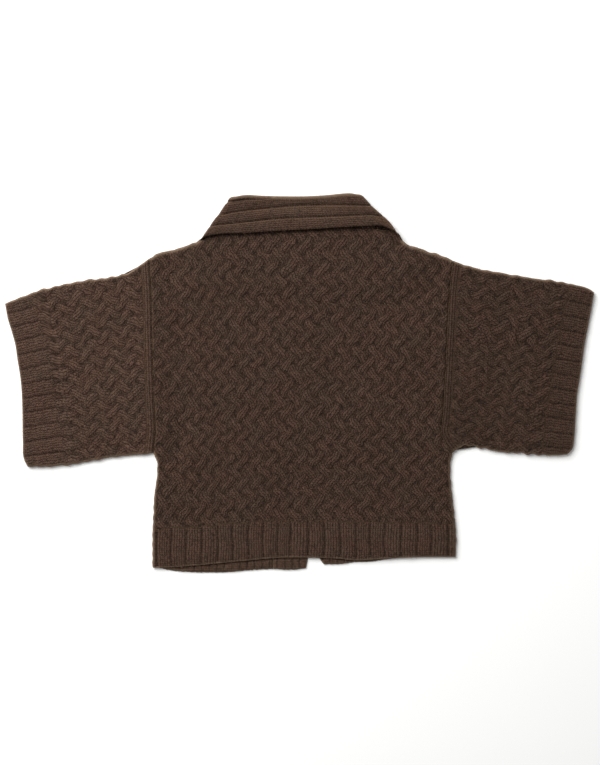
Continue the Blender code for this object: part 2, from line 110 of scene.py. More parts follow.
def fromTable(table, key, x, y):
    # a value of a table of rows down the columns x and y, evened out between its places
    rows, columns = np.array(table["y"], float), np.array(table["x"], float)
    values = np.array(table[key], float)
    i = np.interp(-y, -rows, np.arange(len(rows), dtype=float))
    j = np.interp(x, columns, np.arange(len(columns), dtype=float))
    i0, j0 = np.minimum(i.astype(int), len(rows) - 2), np.minimum(j.astype(int), len(columns) - 2)
    u, v = easeIn(i - i0), easeIn(j - j0)
    upper = values[i0, j0] * (1 - v) + values[i0, j0 + 1] * v
    return upper * (1 - u) + (values[i0 + 1, j0] * (1 - v) + values[i0 + 1, j0 + 1] * v) * u


def easeIn(value):
    value = np.clip(value, 0, 1)
    return value * value * (3 - 2 * value)


def softForms(x, y, forms):
    # the broad hollows and swells of the cloth: columns middle x, y, length, width, turn in degrees, rise
    total = np.zeros(np.shape(x))
    for mx, my, length, width, turn, rise in forms:
        c, s = math.cos(math.radians(turn)), math.sin(math.radians(turn))
        u = ((x - mx) * c + (y - my) * s) / length
        v = (-(x - mx) * s + (y - my) * c) / width
        total += rise * np.exp(-(u * u + v * v) * 2)
    return total


def roundedEdge(distance, radius):
    # 0 on an edge, 1 from radius inwards, round in between
    near = 1 - np.clip(distance / radius, 0, 1)
    return np.sqrt(np.maximum(0, 1 - near * near))


def groove(gap, deep, wide):
    # depth of a soft groove, by the distance from its middle
    return deep * np.exp(-((gap / wide) ** 2))


yarn = {
    "stitchWide": 4.08,
    "stitchHigh": 3.5,
    "ribWales": 6,  # five knit stitches and one purl stitch to a rib, and six to a cable repeat
    "cableRow": 19.2,
}
ribPitch = yarn["stitchWide"] * yarn["ribWales"]

basketCable = {
    "swing": 0.34,  # how much of each crossing is made in the middle of its row
    "halfWidth": 0.255,  # of a strand, in repeats
    "strands": ((0.25, 1), (0.75, -1)),  # where the two of a repeat start, and which way each slants
    "climb": 0.78,  # how far a strand climbs over the one it crosses
    "dome": 1.1,
    "pit": -0.8,
    "lift": 0.6,
    "stitchesPerRow": 6.0,
    "uneven": 0.16,  # how much the fullness of the strands varies
}


def cableRelief(across, along, fullness=1.0):
    # height of the cable in mm, across in repeats and along in rows
    swing = basketCable["swing"]
    row = np.floor(along)
    share = along - row
    swung = row + share - swing * np.sin(2 * math.pi * share) / (2 * math.pi)
    slope = 0.5 * ribPitch / yarn["cableRow"] * (1 - swing * np.cos(2 * math.pi * share))
    narrow = 1 / np.sqrt(1 + slope * slope)
    height = np.full(np.shape(across), basketCable["pit"])
    for start, way in basketCable["strands"]:
        offset = (across - start - way * 0.5 * swung + 0.5) % 1.0 - 0.5
        place = offset * narrow / basketCable["halfWidth"]
        strand = way * basketCable["climb"] * np.sin(math.pi * along)
        height = np.maximum(height, strand + basketCable["dome"] * fullness * (1 - place * place))
    return height + basketCable["lift"]


def ribRelief(across, grooveDepth, grooveHalf, crown=0.7, base=1.3):
    # height of a rib in mm; a groove runs at every whole number across
    place = np.abs((across + 0.5) % 1.0 - 0.5)
    return base + crown * (1 - (1 - 2 * place) ** 2) - groove(place * ribPitch, grooveDepth, grooveHalf)


def gridInside(outline, spacing):
    # a square grid cut along an outline: points, four-sided faces, other faces
    low, high = outline.min(0) - 1.5 * spacing, outline.max(0) + 1.5 * spacing
    x, y = np.meshgrid(np.arange(low[0], high[0], spacing), np.arange(low[1], high[1], spacing))
    closed = np.vstack([outline, outline[:1]])
    depth = distanceTo(closed, x, y) * np.where(isInside(outline, x, y), 1, -1)
    slopeY, slopeX = np.gradient(depth, spacing)
    near = np.abs(depth) < 0.3 * spacing  # points almost on the edge move onto it
    x[near] -= (depth * slopeX)[near]
    y[near] -= (depth * slopeY)[near]
    depth[near] = 0
    kept = depth >= 0
    rows, columns = x.shape
    around = ((0, 0), (0, 1), (1, 1), (1, 0))  # the corners of a square, in order

    def cornersOf(grid):
        return np.stack([grid[di:rows - 1 + di, dj:columns - 1 + dj] for di, dj in around], -1)

    whole = cornersOf(kept).all(-1)
    touched = cornersOf(kept).any(-1) & ~whole
    used = np.zeros(x.shape, bool)
    for di, dj in around:
        used[di:rows - 1 + di, dj:columns - 1 + dj] |= whole | touched
    used &= kept
    number = np.full(x.shape, -1)
    number[used] = np.arange(used.sum())
    points = [tuple(p) for p in np.stack([x[used], y[used]], -1)]
    cuts = {}
    others = []
    for i, j in zip(*np.nonzero(touched)):
        ring = [(i + di, j + dj) for di, dj in around]
        face = []
        for here, after in zip(ring, ring[1:] + ring[:1]):
            if kept[here]:
                face.append(number[here])
            if kept[here] != kept[after] and depth[here] != 0 and depth[after] != 0:
                key = (here, after) if kept[here] else (after, here)
                if key not in cuts:
                    a, b = key
                    t = depth[a] / (depth[a] - depth[b])
                    cuts[key] = len(points)
                    points.append((x[a] + (x[b] - x[a]) * t, y[a] + (y[b] - y[a]) * t))
                face.append(cuts[key])
        if len(face) > 2:
            others.append([int(v) for v in face])
    return np.array(points), cornersOf(number)[whole], others


def rimsOf(quads, others):
    # the loops of points round the edge of the faces, counter-clockwise
    edges = [np.stack([quads[:, k], quads[:, (k + 1) % 4]], -1) for k in range(4)]
    edges += [np.array(list(zip(face, face[1:] + face[:1]))) for face in others]
    edges = np.vstack(edges).astype(np.int64)
    size = edges.max() + 1
    free = edges[~np.isin(edges[:, 0] * size + edges[:, 1], edges[:, 1] * size + edges[:, 0])]
    following = {int(a): int(b) for a, b in free}
    loops = []
    while following:
        start, after = next(iter(following.items()))
        loop = [start]
        del following[start]
        while after != start:
            loop.append(after)
            after = following.pop(after)
        loops.append(loop)
    return loops


def buildPiece(name, points, faces, knit, finishes, rim, finishOf=None):
    # points in mm; knit is each point's place in the knitting, in repeats across and rows along;
    # rim is 1 where a painted highlight shows at an edge, and below 0 where painted shade darkens a seam
    mesh = bpy.data.meshes.new(name)
    mesh.from_pydata((np.asarray(points) * mm).tolist(), [], faces)
    uv = mesh.uv_layers.new(name="knit")
    corners = np.empty(len(mesh.loops), np.int32)
    mesh.loops.foreach_get("vertex_index", corners)
    uv.data.foreach_set("uv", np.asarray(knit, np.float32)[corners].ravel())
    shown = mesh.attributes.new("rim", "FLOAT", "POINT")
    shown.data.foreach_set("value", np.asarray(rim, np.float32).ravel())
    mesh.polygons.foreach_set("use_smooth", np.ones(len(mesh.polygons), bool))
    for finish in finishes:
        mesh.materials.append(finish)
    if finishOf is not None:
        middles = np.empty(len(mesh.polygons) * 3, np.float32)
        mesh.polygons.foreach_get("center", middles)
        middles = middles.reshape(-1, 3) / mm
        mesh.polygons.foreach_set("material_index", finishOf(middles[:, 0], middles[:, 1]).astype(np.int32))
    mesh.validate()
    mesh.update()
    piece = bpy.data.objects.new(name, mesh)
    bpy.context.scene.collection.objects.link(piece)
    print(name, len(mesh.vertices), "points,", sum(len(p.vertices) - 2 for p in mesh.polygons), "triangles")
    return piece


def panelPiece(name, outline, spacing, top, under, knitPlace, finishes, rimAt, finishOf=None, low=11.0):
    # a closed wall of cloth over an outline, its faces at top(x, y) and under(x, y);
    # low is the spacing of the points underneath
    plan, quads, others = gridInside(outline, spacing)
    points = [np.column_stack([plan, top(plan[:, 0], plan[:, 1])])]
    faces = quads.tolist() + others
    count = len(plan)
    for loop in rimsOf(quads, others):
        rim = plan[loop]
        x, y = np.meshgrid(*(np.arange(rim[:, k].min(), rim[:, k].max(), low) for k in (0, 1)))
        x, y = x.ravel(), y.ravel()
        ring = np.vstack([rim, rim[:1]])
        deep = isInside(rim, x, y) & (distanceTo(ring[::3], x, y) > 0.6 * low)
        inner = np.vstack([rim, np.column_stack([x[deep], y[deep]])])
        found = delaunay_2d_cdt([Vector(p) for p in inner], [], [list(range(len(loop)))], 1, 1e-4)
        flat = np.array([tuple(p) for p in found[0]])
        points.append(np.column_stack([flat, under(flat[:, 0], flat[:, 1])]))
        faces += (np.array(found[2])[:, ::-1] + count).tolist()
        below = {source: k + count for k, sources in enumerate(found[3]) for source in sources}
        for k, here in enumerate(loop):
            after = (k + 1) % len(loop)
            faces.append([loop[after], here, below[k], below[after]])
        count += len(flat)
    points = np.vstack(points)
    x, y = points[:, 0], points[:, 1]
    return buildPiece(name, points, faces, np.stack(knitPlace(x, y), -1), finishes, rimAt(x, y), finishOf)


def ringPiece(name, rings, knit, finishes, rim, finishIndex=None, closed=False):
    # a surface through rings of points; each ring is a closed loop, and the rings may close on themselves
    rings = np.asarray(rings)
    count, around = rings.shape[:2]
    faces = []
    last = count if closed else count - 1
    for i in range(last):
        a, b = i * around, (i + 1) % count * around
        for k in range(around):
            after = (k + 1) % around
            faces.append([a + k, a + after, b + after, b + k])
    if not closed:
        faces.append(list(range(around))[::-1])
        faces.append([(count - 1) * around + k for k in range(around)])
    piece = buildPiece(name, rings.reshape(-1, 3), faces, np.asarray(knit).reshape(-1, 2), finishes, rim)
    if finishIndex is not None:
        index = np.zeros(len(piece.data.polygons), np.int32)
        index[:last * around] = np.asarray(finishIndex)[:last].ravel()
        piece.data.polygons.foreach_set("material_index", index)
    return piece


def linear(hexColour, tint=1.0):
    # linear colour of an sRGB hex value
    parts = [int(hexColour[k:k + 2], 16) / 255 for k in (1, 3, 5)]
    return [tint * (v / 12.92 if v <= 0.04045 else ((v + 0.055) / 1.055) ** 2.4) for v in parts] + [1]


def addNode(tree, kind, *inputs, out=0, named=None, **settings):
    # one node with its settings and links; a kind in capitals is what a Math node does; inputs are
    # sockets or values, in order or by name; gives one of its outputs
    if kind.isupper():
        kind, settings = "Math", {"operation": kind}
    node = tree.nodes.new(kind if kind[:4] in ("Geom", "Func", "Node") else "ShaderNode" + kind)
    for key, value in settings.items():
        setattr(node, key, value)
    for key, value in [*enumerate(inputs), *(named or {}).items()]:
        if isinstance(value, bpy.types.NodeSocket):
            tree.links.new(value, node.inputs[key])
        else:
            node.inputs[key].default_value = value
    return node.outputs[out] if len(node.outputs) else node


def newMaterial(name):
    # an empty material, and addNode for its tree
    material = bpy.data.materials.new(name)
    material.use_nodes = True
    material.node_tree.nodes.clear()
    return material, partial(addNode, material.node_tree)


# lambswool, brushed after knitting: matt, soft edges to every stitch, and a short nap, pale at a glance
wool = {
    # colour of the deepest painted shade, in the gaps and crevices
    "dark": "#120c08",
    "warm": "#543e34",  # the yarn is spun from fibres of slightly different browns
    "cool": "#513f35",
    "nap": "#a8845e",
    "edge": "#87725f",  # painted highlight at the edges: the nap seen edge on, with light passing through it
    "rimHighlightShare": 0.6,
    "stitchRelief": 1.3,  # mm
    "legRound": 0.7,  # 0 shows the two legs of a stitch, 1 one round wale
    "legSlant": 1.3,  # stitches that a leg slants over half a wale
    "reliefTone": (0.24, 0.8),  # painted shade between stitches: relief that is still all dark, and relief that has the yarn's full colour
    "plies": 0.85,  # how much the light and dark plies show
    "tuft": 1.5,  # mm, width of the tufts, drawn coarser than a fibre so that they show
    "tuftTone": (0.95, -0.12),  # here and below, how much a pattern adds to the tone, and the tone without it
    "tuftRelief": 0.3,  # of the stitches' relief
    "marl": 11.0,  # mm, length of the lighter and darker stretches of yarn
    "marlTone": (0.5, 0.75),
    "noiseSpan": (0.35, 0.65),  # where most values of a noise lie
    "creviceWide": 0.75,  # mm of height beside a crossing strand that stays in its shadow
    "creviceDeep": -0.5,  # below 0, so that the middle of a crevice is all dark
    "creviceTone": (0.9, 0.12),
    "pitTop": 1.6,  # mm, height at which a strand is out of the shade of those beside it
    "purlShade": (0.012, 0.044),  # repeats from a purl wale's middle to its shadow's start and end
    "felting": 9.0,  # mm, size of the places where brushing closed the crevices and their painted shade is lighter
    "felted": {"cable": 0.6, "rib": 0.1},  # and how far it closed them
    "seamShade": 0.1,  # tone of the painted shade beside a seam
}


def cableWales(add, across, along):
    # the wale of the strand on top, the stitch along it, and the painted shade of the crevice and pit beside
    # it, 1 where there is none
    cable = basketCable
    pull = 0.5 * ribPitch / yarn["cableRow"]
    turn = add("MULTIPLY", add("FRACT", along), 2 * math.pi)
    swung = add("MULTIPLY_ADD", add("SINE", turn), -cable["swing"] / (2 * math.pi), along)
    slope = add("MULTIPLY_ADD", add("COSINE", turn), -pull * cable["swing"], pull)
    length = add("SQRT", add("MULTIPLY_ADD", slope, slope, 1.0))
    width = add("MULTIPLY", length, cable["halfWidth"])
    lean = add("DIVIDE", slope, length)
    climb = add("SINE", add("MULTIPLY", along, math.pi))
    strands = []
    for start, way in cable["strands"]:
        moved = add("ADD", add("MULTIPLY_ADD", swung, -0.5 * way, across), 0.5 - start)
        number = add("MULTIPLY_ADD", add("FLOOR", moved), 7.0, 3000.0 * way)  # each strand has its own plies
        offset = add("SUBTRACT", add("FRACT", moved), 0.5)
        place = add("DIVIDE", offset, width)
        dome = add("MULTIPLY_ADD", add("MULTIPLY", place, place), -cable["dome"], cable["dome"])
        height = add("MULTIPLY_ADD", climb, way * cable["climb"], dome)
        drift = add("MULTIPLY", add("MULTIPLY", offset, lean), way * ribPitch / yarn["stitchHigh"])
        stitch = add("MULTIPLY_ADD", along, cable["stitchesPerRow"], drift)
        strands.append((add("MULTIPLY_ADD", place, 1.5, number), stitch, height))
    (waleA, stitchA, heightA), (waleB, stitchB, heightB) = strands
    upper = add("GREATER_THAN", heightB, heightA)
    wale = add("ADD", add("Mix", upper, named={2: waleA, 3: waleB}), 1.5)
    stitch = add("Mix", upper, named={2: stitchA, 3: stitchB})
    gap = add("ABSOLUTE", add("SUBTRACT", heightA, heightB))
    shade = (0.0, wool["creviceWide"], wool["creviceDeep"], 1.0)
    clear = add("MapRange", gap, *shade, interpolation_type="SMOOTHSTEP")
    depth = add("MapRange", add("MAXIMUM", heightA, heightB), cable["pit"], wool["pitTop"], 0.0, 1.0)
    return wale, stitch, add("MULTIPLY", clear, depth)


def ribWales(add, across, along, purl):
    # wale and stitch on a rib; the last value is a painted shade that falls in the purl wale at every whole
    # number across
    wale = add("ADD", add("MULTIPLY", across, float(yarn["ribWales"])), 0.5)
    stitch = add("MULTIPLY", along, yarn["cableRow"] / yarn["stitchHigh"])
    if not purl:
        return wale, stitch, None
    near = add("ABSOLUTE", add("SUBTRACT", add("FRACT", add("ADD", across, 0.5)), 0.5))
    shade = (*wool["purlShade"], wool["creviceDeep"], 1.0)
    return wale, stitch, add("MapRange", near, *shade, interpolation_type="SMOOTHSTEP")


def knitFinish(name, pattern, purl=True, tint=1.0, soft=0.05):
    material, add = newMaterial(name)
    across, along = add("SeparateXYZ", add("UVMap", uv_map="knit")).node.outputs[:2]
    if pattern == "cable":
        wale, stitch, clear = cableWales(add, across, along)
    else:
        wale, stitch, clear = ribWales(add, across, along, purl)
    place = add("ABSOLUTE", add("SUBTRACT", add("FRACT", wale), 0.5))  # 0 in a wale's middle, 0.5 between two
    leg = add("MULTIPLY_ADD", place, 4.0, -1.0)
    leg = add("SUBTRACT", 1.0, add("MULTIPLY", leg, leg))
    whole = add("MULTIPLY_ADD", add("MULTIPLY", place, place), -4.0, 1.0)
    leg = add("Mix", wool["legRound"], named={2: leg, 3: whole})
    leg = add("MULTIPLY_ADD", leg, 1 - soft, soft)
    slant = add("MULTIPLY_ADD", place, -wool["legSlant"], stitch)
    bulge = add("SINE", add("MULTIPLY", add("FRACT", slant), math.pi))
    relief = add("MULTIPLY", leg, add("MULTIPLY_ADD", bulge, 0.5, 0.5))
    half, ply = (add("FLOOR", add("MULTIPLY", value, 2.0)) for value in (wale, slant))
    plies = add("TexWhiteNoise", add("CombineXYZ", half, ply))

    spot = add("TexCoord", out=3)
    tufts = add("TexNoise", spot, named={"Scale": 1 / (wool["tuft"] * mm), "Detail": 3.0, "Roughness": 0.7})
    tufts = add("MapRange", tufts, 0.34, 0.66, 0.0, 1.0)
    marl = add("TexNoise", spot, named={"Scale": 1 / (wool["marl"] * mm), "Detail": 2.0})
    hue = add("TexNoise", spot, named={"Scale": 1 / (wool["marl"] * 2.5 * mm), "Detail": 2.0})
    rim = add("Attribute", attribute_name="rim", out=2)

    # painted shade: the gaps between stitches, the crevices beside a strand and the seams are darkened where
    # shade falls
    tone = add("MapRange", relief, *wool["reliefTone"], 0.0, 1.0)
    shades = [add("MULTIPLY_ADD", plies, wool["plies"], add("MULTIPLY_ADD", tufts, *wool["tuftTone"]))]
    if clear is not None:
        felted = add("TexNoise", spot, named={"Scale": 1 / (wool["felting"] * mm), "Detail": 1.0})
        felted = add("MapRange", felted, *wool["noiseSpan"], 0.0, wool["felted"][pattern])
        crevice = add("MULTIPLY_ADD", clear, *wool["creviceTone"])
        shades.append(add("Mix", felted, named={2: crevice, 3: 1.0}))
    shades.append(add("MULTIPLY_ADD", marl, *wool["marlTone"]))
    # painted shade beside a seam, where rim is below 0
    shades.append(add("MapRange", rim, -1.0, 0.0, wool["seamShade"], 1.0))
    for shade in shades:
        tone = add("MULTIPLY", tone, shade)
    hue = add("MapRange", hue, *wool["noiseSpan"], 0.0, 1.0)
    # painted highlight: where rim is above 0, the colour turns towards the pale edge colour
    edge = add("MULTIPLY", rim, wool["rimHighlightShare"])
    warm, cool, colour = (linear(wool[key], tint) for key in ("warm", "cool", "dark"))
    light = add("Mix", named={0: hue, 6: warm, 7: cool}, out=2, data_type="RGBA")
    for share, over in ((tone, light), (edge, linear(wool["edge"]))):
        colour = add("Mix", named={0: share, 6: colour, 7: over}, out=2, data_type="RGBA")
    height = add("MULTIPLY_ADD", tufts, wool["tuftRelief"], relief)
    bump = add("Bump", named={"Height": height, "Distance": wool["stitchRelief"] * mm, "Strength": 1.0})
    gloss = {
        "Roughness": 0.92, "IOR": 1.45, "Specular IOR Level": 0.12,
        "Sheen Weight": 0.45, "Sheen Roughness": 0.45, "Sheen Tint": linear(wool["nap"]),
    }
    add("OutputMaterial", add("BsdfPrincipled", colour, named={"Normal": bump, **gloss}))
    return material


cableFinish = knitFinish("lambswool basket cable", "cable", tint=0.97, soft=0.24)
ribFinish = knitFinish("lambswool rib", "rib", tint=0.98, soft=0.24)
# painted light: the left sleeve's finishes are paler and the right sleeve's darker, for the light that falls
# from the left
litAndShadedSleeveFinishes = {
    side: [
        knitFinish(f"lambswool basket cable {name}", "cable", tint=tint * 0.96, soft=0.3),
        knitFinish(f"lambswool rib {name}", "rib", tint=tint * 0.88, soft=0.3),
        knitFinish(f"lambswool plain knit {name}", "rib", purl=False, tint=tint * 0.86, soft=0.15),
    ]
    for side, name, tint in ((-1, "left", 1.21), (1, "right", 0.91))
}
hemEdgeHighlightFinish = knitFinish("lambswool hem edge painted highlight", "rib", purl=False, tint=1.7)  # painted highlight along the hem's edge
frontsPaintedLighterFinish = knitFinish("lambswool front hem painted lighter", "rib", tint=1.34, soft=0.0)  # the wrong side, painted lighter against the back hem's shadow
print("knit finishes made")


# the body's edges, as x, y from one end to the other
body = {
    "hem": [
        (-234.8, -295.3), (-202.5, -294.3), (-164, -291.3), (-111, -286.3), (-79, -283.3), (-36, -279.5),
        (17, -279), (60, -280.5), (92, -283.3), (133.5, -280.7), (197.5, -278), (249.3, -278),
    ],
    "leftSide": [
        (-234.8, -295.3), (-235, -259), (-234.5, -227), (-232.8, -195), (-230.5, -168), (-228.3, -153),
        (-228, -126), (-233.5, -111.5),
    ],
    "leftArmhole": [(-233.5, -111.5), (-230, -81.5), (-232, -27), (-235, 69), (-237, 155), (-240, 199)],
    "leftShoulder": [
        (-240, 199), (-227, 206.5), (-202.5, 213), (-175, 220.5), (-160, 227.5), (-146, 235.5), (-131, 241),
        (-112, 246),
    ],
    "rightSide": [
        (249.3, -278), (250.3, -251), (248, -219), (244.8, -187), (242.4, -163), (241, -131),
        (244.5, -111.5),
    ],
    "rightArmhole": [
        (244.5, -111.5), (232, -95), (225.5, -75), (227, -65.5), (232, 5), (236, 85), (241, 165),
        (245, 195.5),
    ],
    "rightShoulder": [
        (245, 195.5), (226.5, 204), (199, 212), (177, 220), (166, 225.8), (159.5, 236.5), (151.5, 242.5),
        (137, 244), (119, 246),
    ],
    "collarEdge": [
        (-158, 230), (-148.5, 233.5), (-124, 237.4), (-86, 238.6), (-38, 241.6), (16, 244.5), (62, 247.6),
        (108, 250.2), (132, 249.5), (151, 240), (160, 230),
    ],
    "backNeck": [(-112, 246), (-101.5, 253), (-87, 255.5), (1, 257.5), (89, 258.5), (119, 246)],
    "ribTop": [(-250, -235), (-159, -229), (-79, -222.5), (1, -221), (129, -222.5), (255, -225)],
    "leftSideSeam": [(-227.5, -296), (-227.3, -220), (-224, -160), (-221, -125), (-224, -105)],
    "rightSideSeam": [(237.6, -282), (237.4, -180), (236.8, -140), (234, -114), (229, -98), (225, -84)],
}
bodyLines = {key: smoothLine(points) for key, points in body.items()}
for key, way, most in (
    ("leftShoulder", 1, 0.9), ("rightShoulder", 1, 0.9), ("leftSide", 0, 0.5), ("rightSide", 0, 0.5),
):
    line = bodyLines[key]  # the cable shows as small bumps along the folded edges
    line[:, way] += most * fromEnds(line, 6) * softWaves(line[:, 0], line[:, 1], 7, 71)

# heights above the surface that the garment lies on
layers = {
    "frontWall": 3.0,
    "backUnder": 3.3,
    "backBase": 6.0,
    "collarLift": 4.3,  # the panels rise over the collar's front half
    "liftLeft": (-215, 58),  # x where they start to rise, and over how many mm
    "liftRight": (220, 56),
    "liftBelow": (112, 54),  # the same for y
}


def gapTo(key, x, y):
    # mm to one of the body's edges
    return distanceTo(bodyLines[key][::2], x, y)


def collarLift(x, y):
    (left, overLeft), (right, overRight), (below, overBelow) = (
        layers[key] for key in ("liftLeft", "liftRight", "liftBelow")
    )
    rise = np.minimum(np.minimum((x - left) / overLeft, (right - x) / overRight), (y - below) / overBelow)
    return layers["collarLift"] * easeIn(rise)


back = {
    "spacing": 1.85,  # mm between points of the cloth
    "cableStart": (-5.7, -209.6),  # x of a repeat and y of a row
    "straight": (-228.8, -235, 190),  # y of the rib's top, and y from which the rows straighten, over some mm
    "ribDepth": 1.1,
    "ribHalf": 0.95,  # mm from a groove's middle to its side
    "ribBlend": 5,  # mm in which the ribs turn into the cable
    "hemEdgeHighlight": 2.4,  # mm of painted highlight along the hem's edge
    "edgeWall": 1.2,
    "covered": (225, 5),  # y from which the collar covers the painted highlight, over some mm
    "sideSeams": (1.6, 1.7),  # how deep and how wide the sewing draws the wool in
    "hemPressed": (1.6, 7),
    "collarPresses": (3.6, 4.6),
    "armholes": {"leftArmhole": (3.2, 3.8), "rightArmhole": (2.8, 3.0)},  # how wide and how deep
    # painted shade beside each armhole seam, how much
    "seamShade": {"leftArmhole": 0.95, "rightArmhole": 0.8},
    "rounded": {  # mm over which each edge is rounded
        "hem": 1.8, "leftSide": 3.5, "rightSide": 4, "leftShoulder": 4, "rightShoulder": 4, "backNeck": 4,
    },
    "paintedRimLight": {  # painted highlight along each edge: mm in from it, and how much
        "hem": (2.6, 1.0), "leftSide": (5, 0.9), "rightSide": (4.5, 0.7), "leftShoulder": (7, 1.0),
        "rightShoulder": (7, 1.0),
    },
    "grooves": [  # x of the hem's purl wales at the top of the rib
        -227.8, -205.3, -181.6, -156.6, -130.6, -107.4, -82.1, -58.7, -35.2, -15.2, 13.4, 39.2, 64.8, 89.8,
        112.3, 135.2, 161.9, 187.7, 209.4, 237.3,
    ],
    "forms": [  # middle x, y, length, width, turn, rise
        (-197, -104, 56, 20, 75, -4.2), (-178, -122, 60, 30, 70, 1.4), (-217, -95, 50, 16, 80, 1.8),
        (-233, 60, 330, 26, 90, 1.8), (-196, 40, 260, 40, 88, -1.2), (-208, 178, 70, 30, 40, -1.4),
        (203, 155, 60, 26, 50, -2.6), (180, 178, 60, 30, 50, 1.0), (222, 120, 60, 20, 60, 1.2),
        (27, -172, 70, 36, -35, -1.4), (88, -190, 80, 34, -40, -1.6), (110, -60, 150, 60, -40, -1.2),
        (-60, 60, 200, 90, 60, 1.4), (0, 105, 90, 40, 10, -1.2), (50, 130, 120, 40, 35, 1.2),
        (120, -150, 150, 70, 20, -1.0), (-150, 90, 160, 60, 80, -1.0), (-60, -90, 160, 80, 75, 1.2),
        (150, 20, 160, 50, 60, 1.0),
    ],
}

bodyDrift = {  # how far the stitches are pulled aside and down, in mm
    "x": [-175, -111, -47, 17, 81, 145],
    "y": [173, 122, 70, 19, -32, -83, -134, -186],
    "aside": [
        [5, -3, -1.6, 3.2, 9.6, 10], [8, 1.6, 0, 3.2, 6.4, 8], [8, 3.2, 0, 1.6, 4.8, 6.4],
        [8, 3.2, 0, 0, 1.6, 4.8], [6.4, 2.4, -1.6, -1.6, 0, 1.6], [8, 2, -3.2, -3.2, -3.2, -1.6],
        [8, 1.6, -2, -4, -1.6, -1.6], [6.4, 1.6, -1.6, -3.2, -1.6, 0],
    ],
    "down": [
        [5, 1.6, 0, 3.2, 3.2, 4.8], [6.4, -1.6, 0, 0, 1.6, 4], [4.8, 0, -1.6, -1.6, 1.6, 3.2],
        [3.2, 0, -1.6, -3.2, 1.6, 1.6], [4.8, 1.6, -1.6, -1.6, 0, 0], [8, 3, 1.6, 0, 1.6, 1.6],
        [8, 4.8, 3.2, 1.6, 1.6, 1.6], [4.8, 1.6, 0, -1.6, 0, -1.6],
    ],
}


def ribTopAt(x):
    return np.interp(x, *bodyLines["ribTop"].T) + 1.8 * softWaves(x, 0, 7, 51)


def bodyKnitPlace(x, y):
    # repeats across and rows along; under the top of the rib, ribs across
    x0, y0 = back["cableStart"]
    grooves = np.array(back["grooves"])
    level, low, over = back["straight"]
    bent = np.interp(x, *bodyLines["ribTop"].T) - level  # near the rib, the rows follow its top
    bent = bent * (1 - easeIn((y - low) / over))
    wobbleX = 0.6 * softWaves(x, y, 14, 5) + 0.5 * softWaves(x, y, 6, 7)
    wobbleY = 0.7 * softWaves(x, y, 15, 6) + 0.6 * softWaves(x, y, 6, 8)
    across = (x + wobbleX - x0 - fromTable(bodyDrift, "aside", x, y)) / ribPitch
    along = (y - bent + wobbleY - y0 + fromTable(bodyDrift, "down", x, y)) / yarn["cableRow"]
    inRib = np.interp(x + 0.7 * np.sin(y / 9 + x / 31), grooves, np.arange(len(grooves), dtype=float))
    inRib = np.where(x < grooves[0], (x - grooves[0]) / ribPitch, inRib)
    inRib = np.where(x > grooves[-1], len(grooves) - 1 + (x - grooves[-1]) / ribPitch, inRib)
    isRib = y < ribTopAt(x)
    return np.where(isRib, inRib, across), np.where(isRib, (y + 300) / yarn["cableRow"], along)


def backUnder(x, y):
    return layers["backUnder"] + collarLift(x, y)


def backTop(x, y):
    across, along = bodyKnitPlace(x, y)
    cable = cableRelief(across, along, 1 + basketCable["uneven"] * softWaves(x, y, 8, 11))
    rib = ribRelief(across, back["ribDepth"] + 0.4 * softWaves(x, y * 0.3, 14, 13), back["ribHalf"])
    seamGap = np.minimum(*(distanceTo(bodyLines[key], x, y) for key in ("leftSideSeam", "rightSideSeam")))
    blend = easeIn((y - ribTopAt(x)) / back["ribBlend"] + 0.5)
    relief = rib * (1 - blend) + cable * blend - groove(seamGap, *back["sideSeams"])
    height = layers["backBase"] + collarLift(x, y) + relief - groove(gapTo("hem", x, y), *back["hemPressed"])
    height = height + softForms(x, y, back["forms"]) + 0.45 * softWaves(x, y, 60, 21)
    height = height - groove(gapTo("collarEdge", x, y), *back["collarPresses"])
    uneven = 0.7 + 0.3 * softWaves(x, y, 9, 61)
    for key, (radius, dip) in back["armholes"].items():
        height = height - dip * uneven * (1 - roundedEdge(gapTo(key, x, y), radius))
    rounding = np.min([roundedEdge(gapTo(key, x, y), radius) for key, radius in back["rounded"].items()], 0)
    low = backUnder(x, y) + back["edgeWall"]
    return low + np.maximum(height - low, 0.4) * rounding


def shadeBesideSeam(gap, x, y):
    # painted shade beside a seam, uneven along it
    return groove(gap, 1, 1.3) * np.clip(0.75 + 0.4 * softWaves(x, y, 6, 63), 0, 1)


def backRim(x, y):
    # painted highlight along the back's edges, fading under the collar, and painted shade beside the armhole
    # seams
    shows = [most * easeIn(1 - gapTo(key, x, y) / wide) for key, (wide, most) in back["paintedRimLight"].items()]
    rim = np.max(shows, 0) * (1 - easeIn((y - back["covered"][0]) / back["covered"][1]))
    for key, most in back["seamShade"].items():
        rim = rim - most * shadeBesideSeam(gapTo(key, x, y), x, y)
    return rim


def bodyFinishOf(x, y):
    # a painted highlight along the hem's edge
    hemEdgeHighlight = distanceTo(bodyLines["hem"], x, y) < back["hemEdgeHighlight"]
    return np.where(hemEdgeHighlight, 2, np.where(y < ribTopAt(x), 1, 0))


leftDown = [bodyLines[key][::-1] for key in ("leftShoulder", "leftArmhole", "leftSide")]
rightUp = [bodyLines[key] for key in ("rightSide", "rightArmhole", "rightShoulder")]
backOutline = joinLines(bodyLines["hem"], *rightUp, bodyLines["backNeck"][::-1], *leftDown)
backKnit = panelPiece(
    "backKnit", backOutline, back["spacing"], backTop, backUnder, bodyKnitPlace,
    [cableFinish, ribFinish, hemEdgeHighlightFinish], backRim, bodyFinishOf,
)


def areaOf(outline):
    x, y = np.asarray(outline).T
    return abs(float(np.sum(x * np.roll(y, -1) - y * np.roll(x, -1)))) / 2 * mm * mm


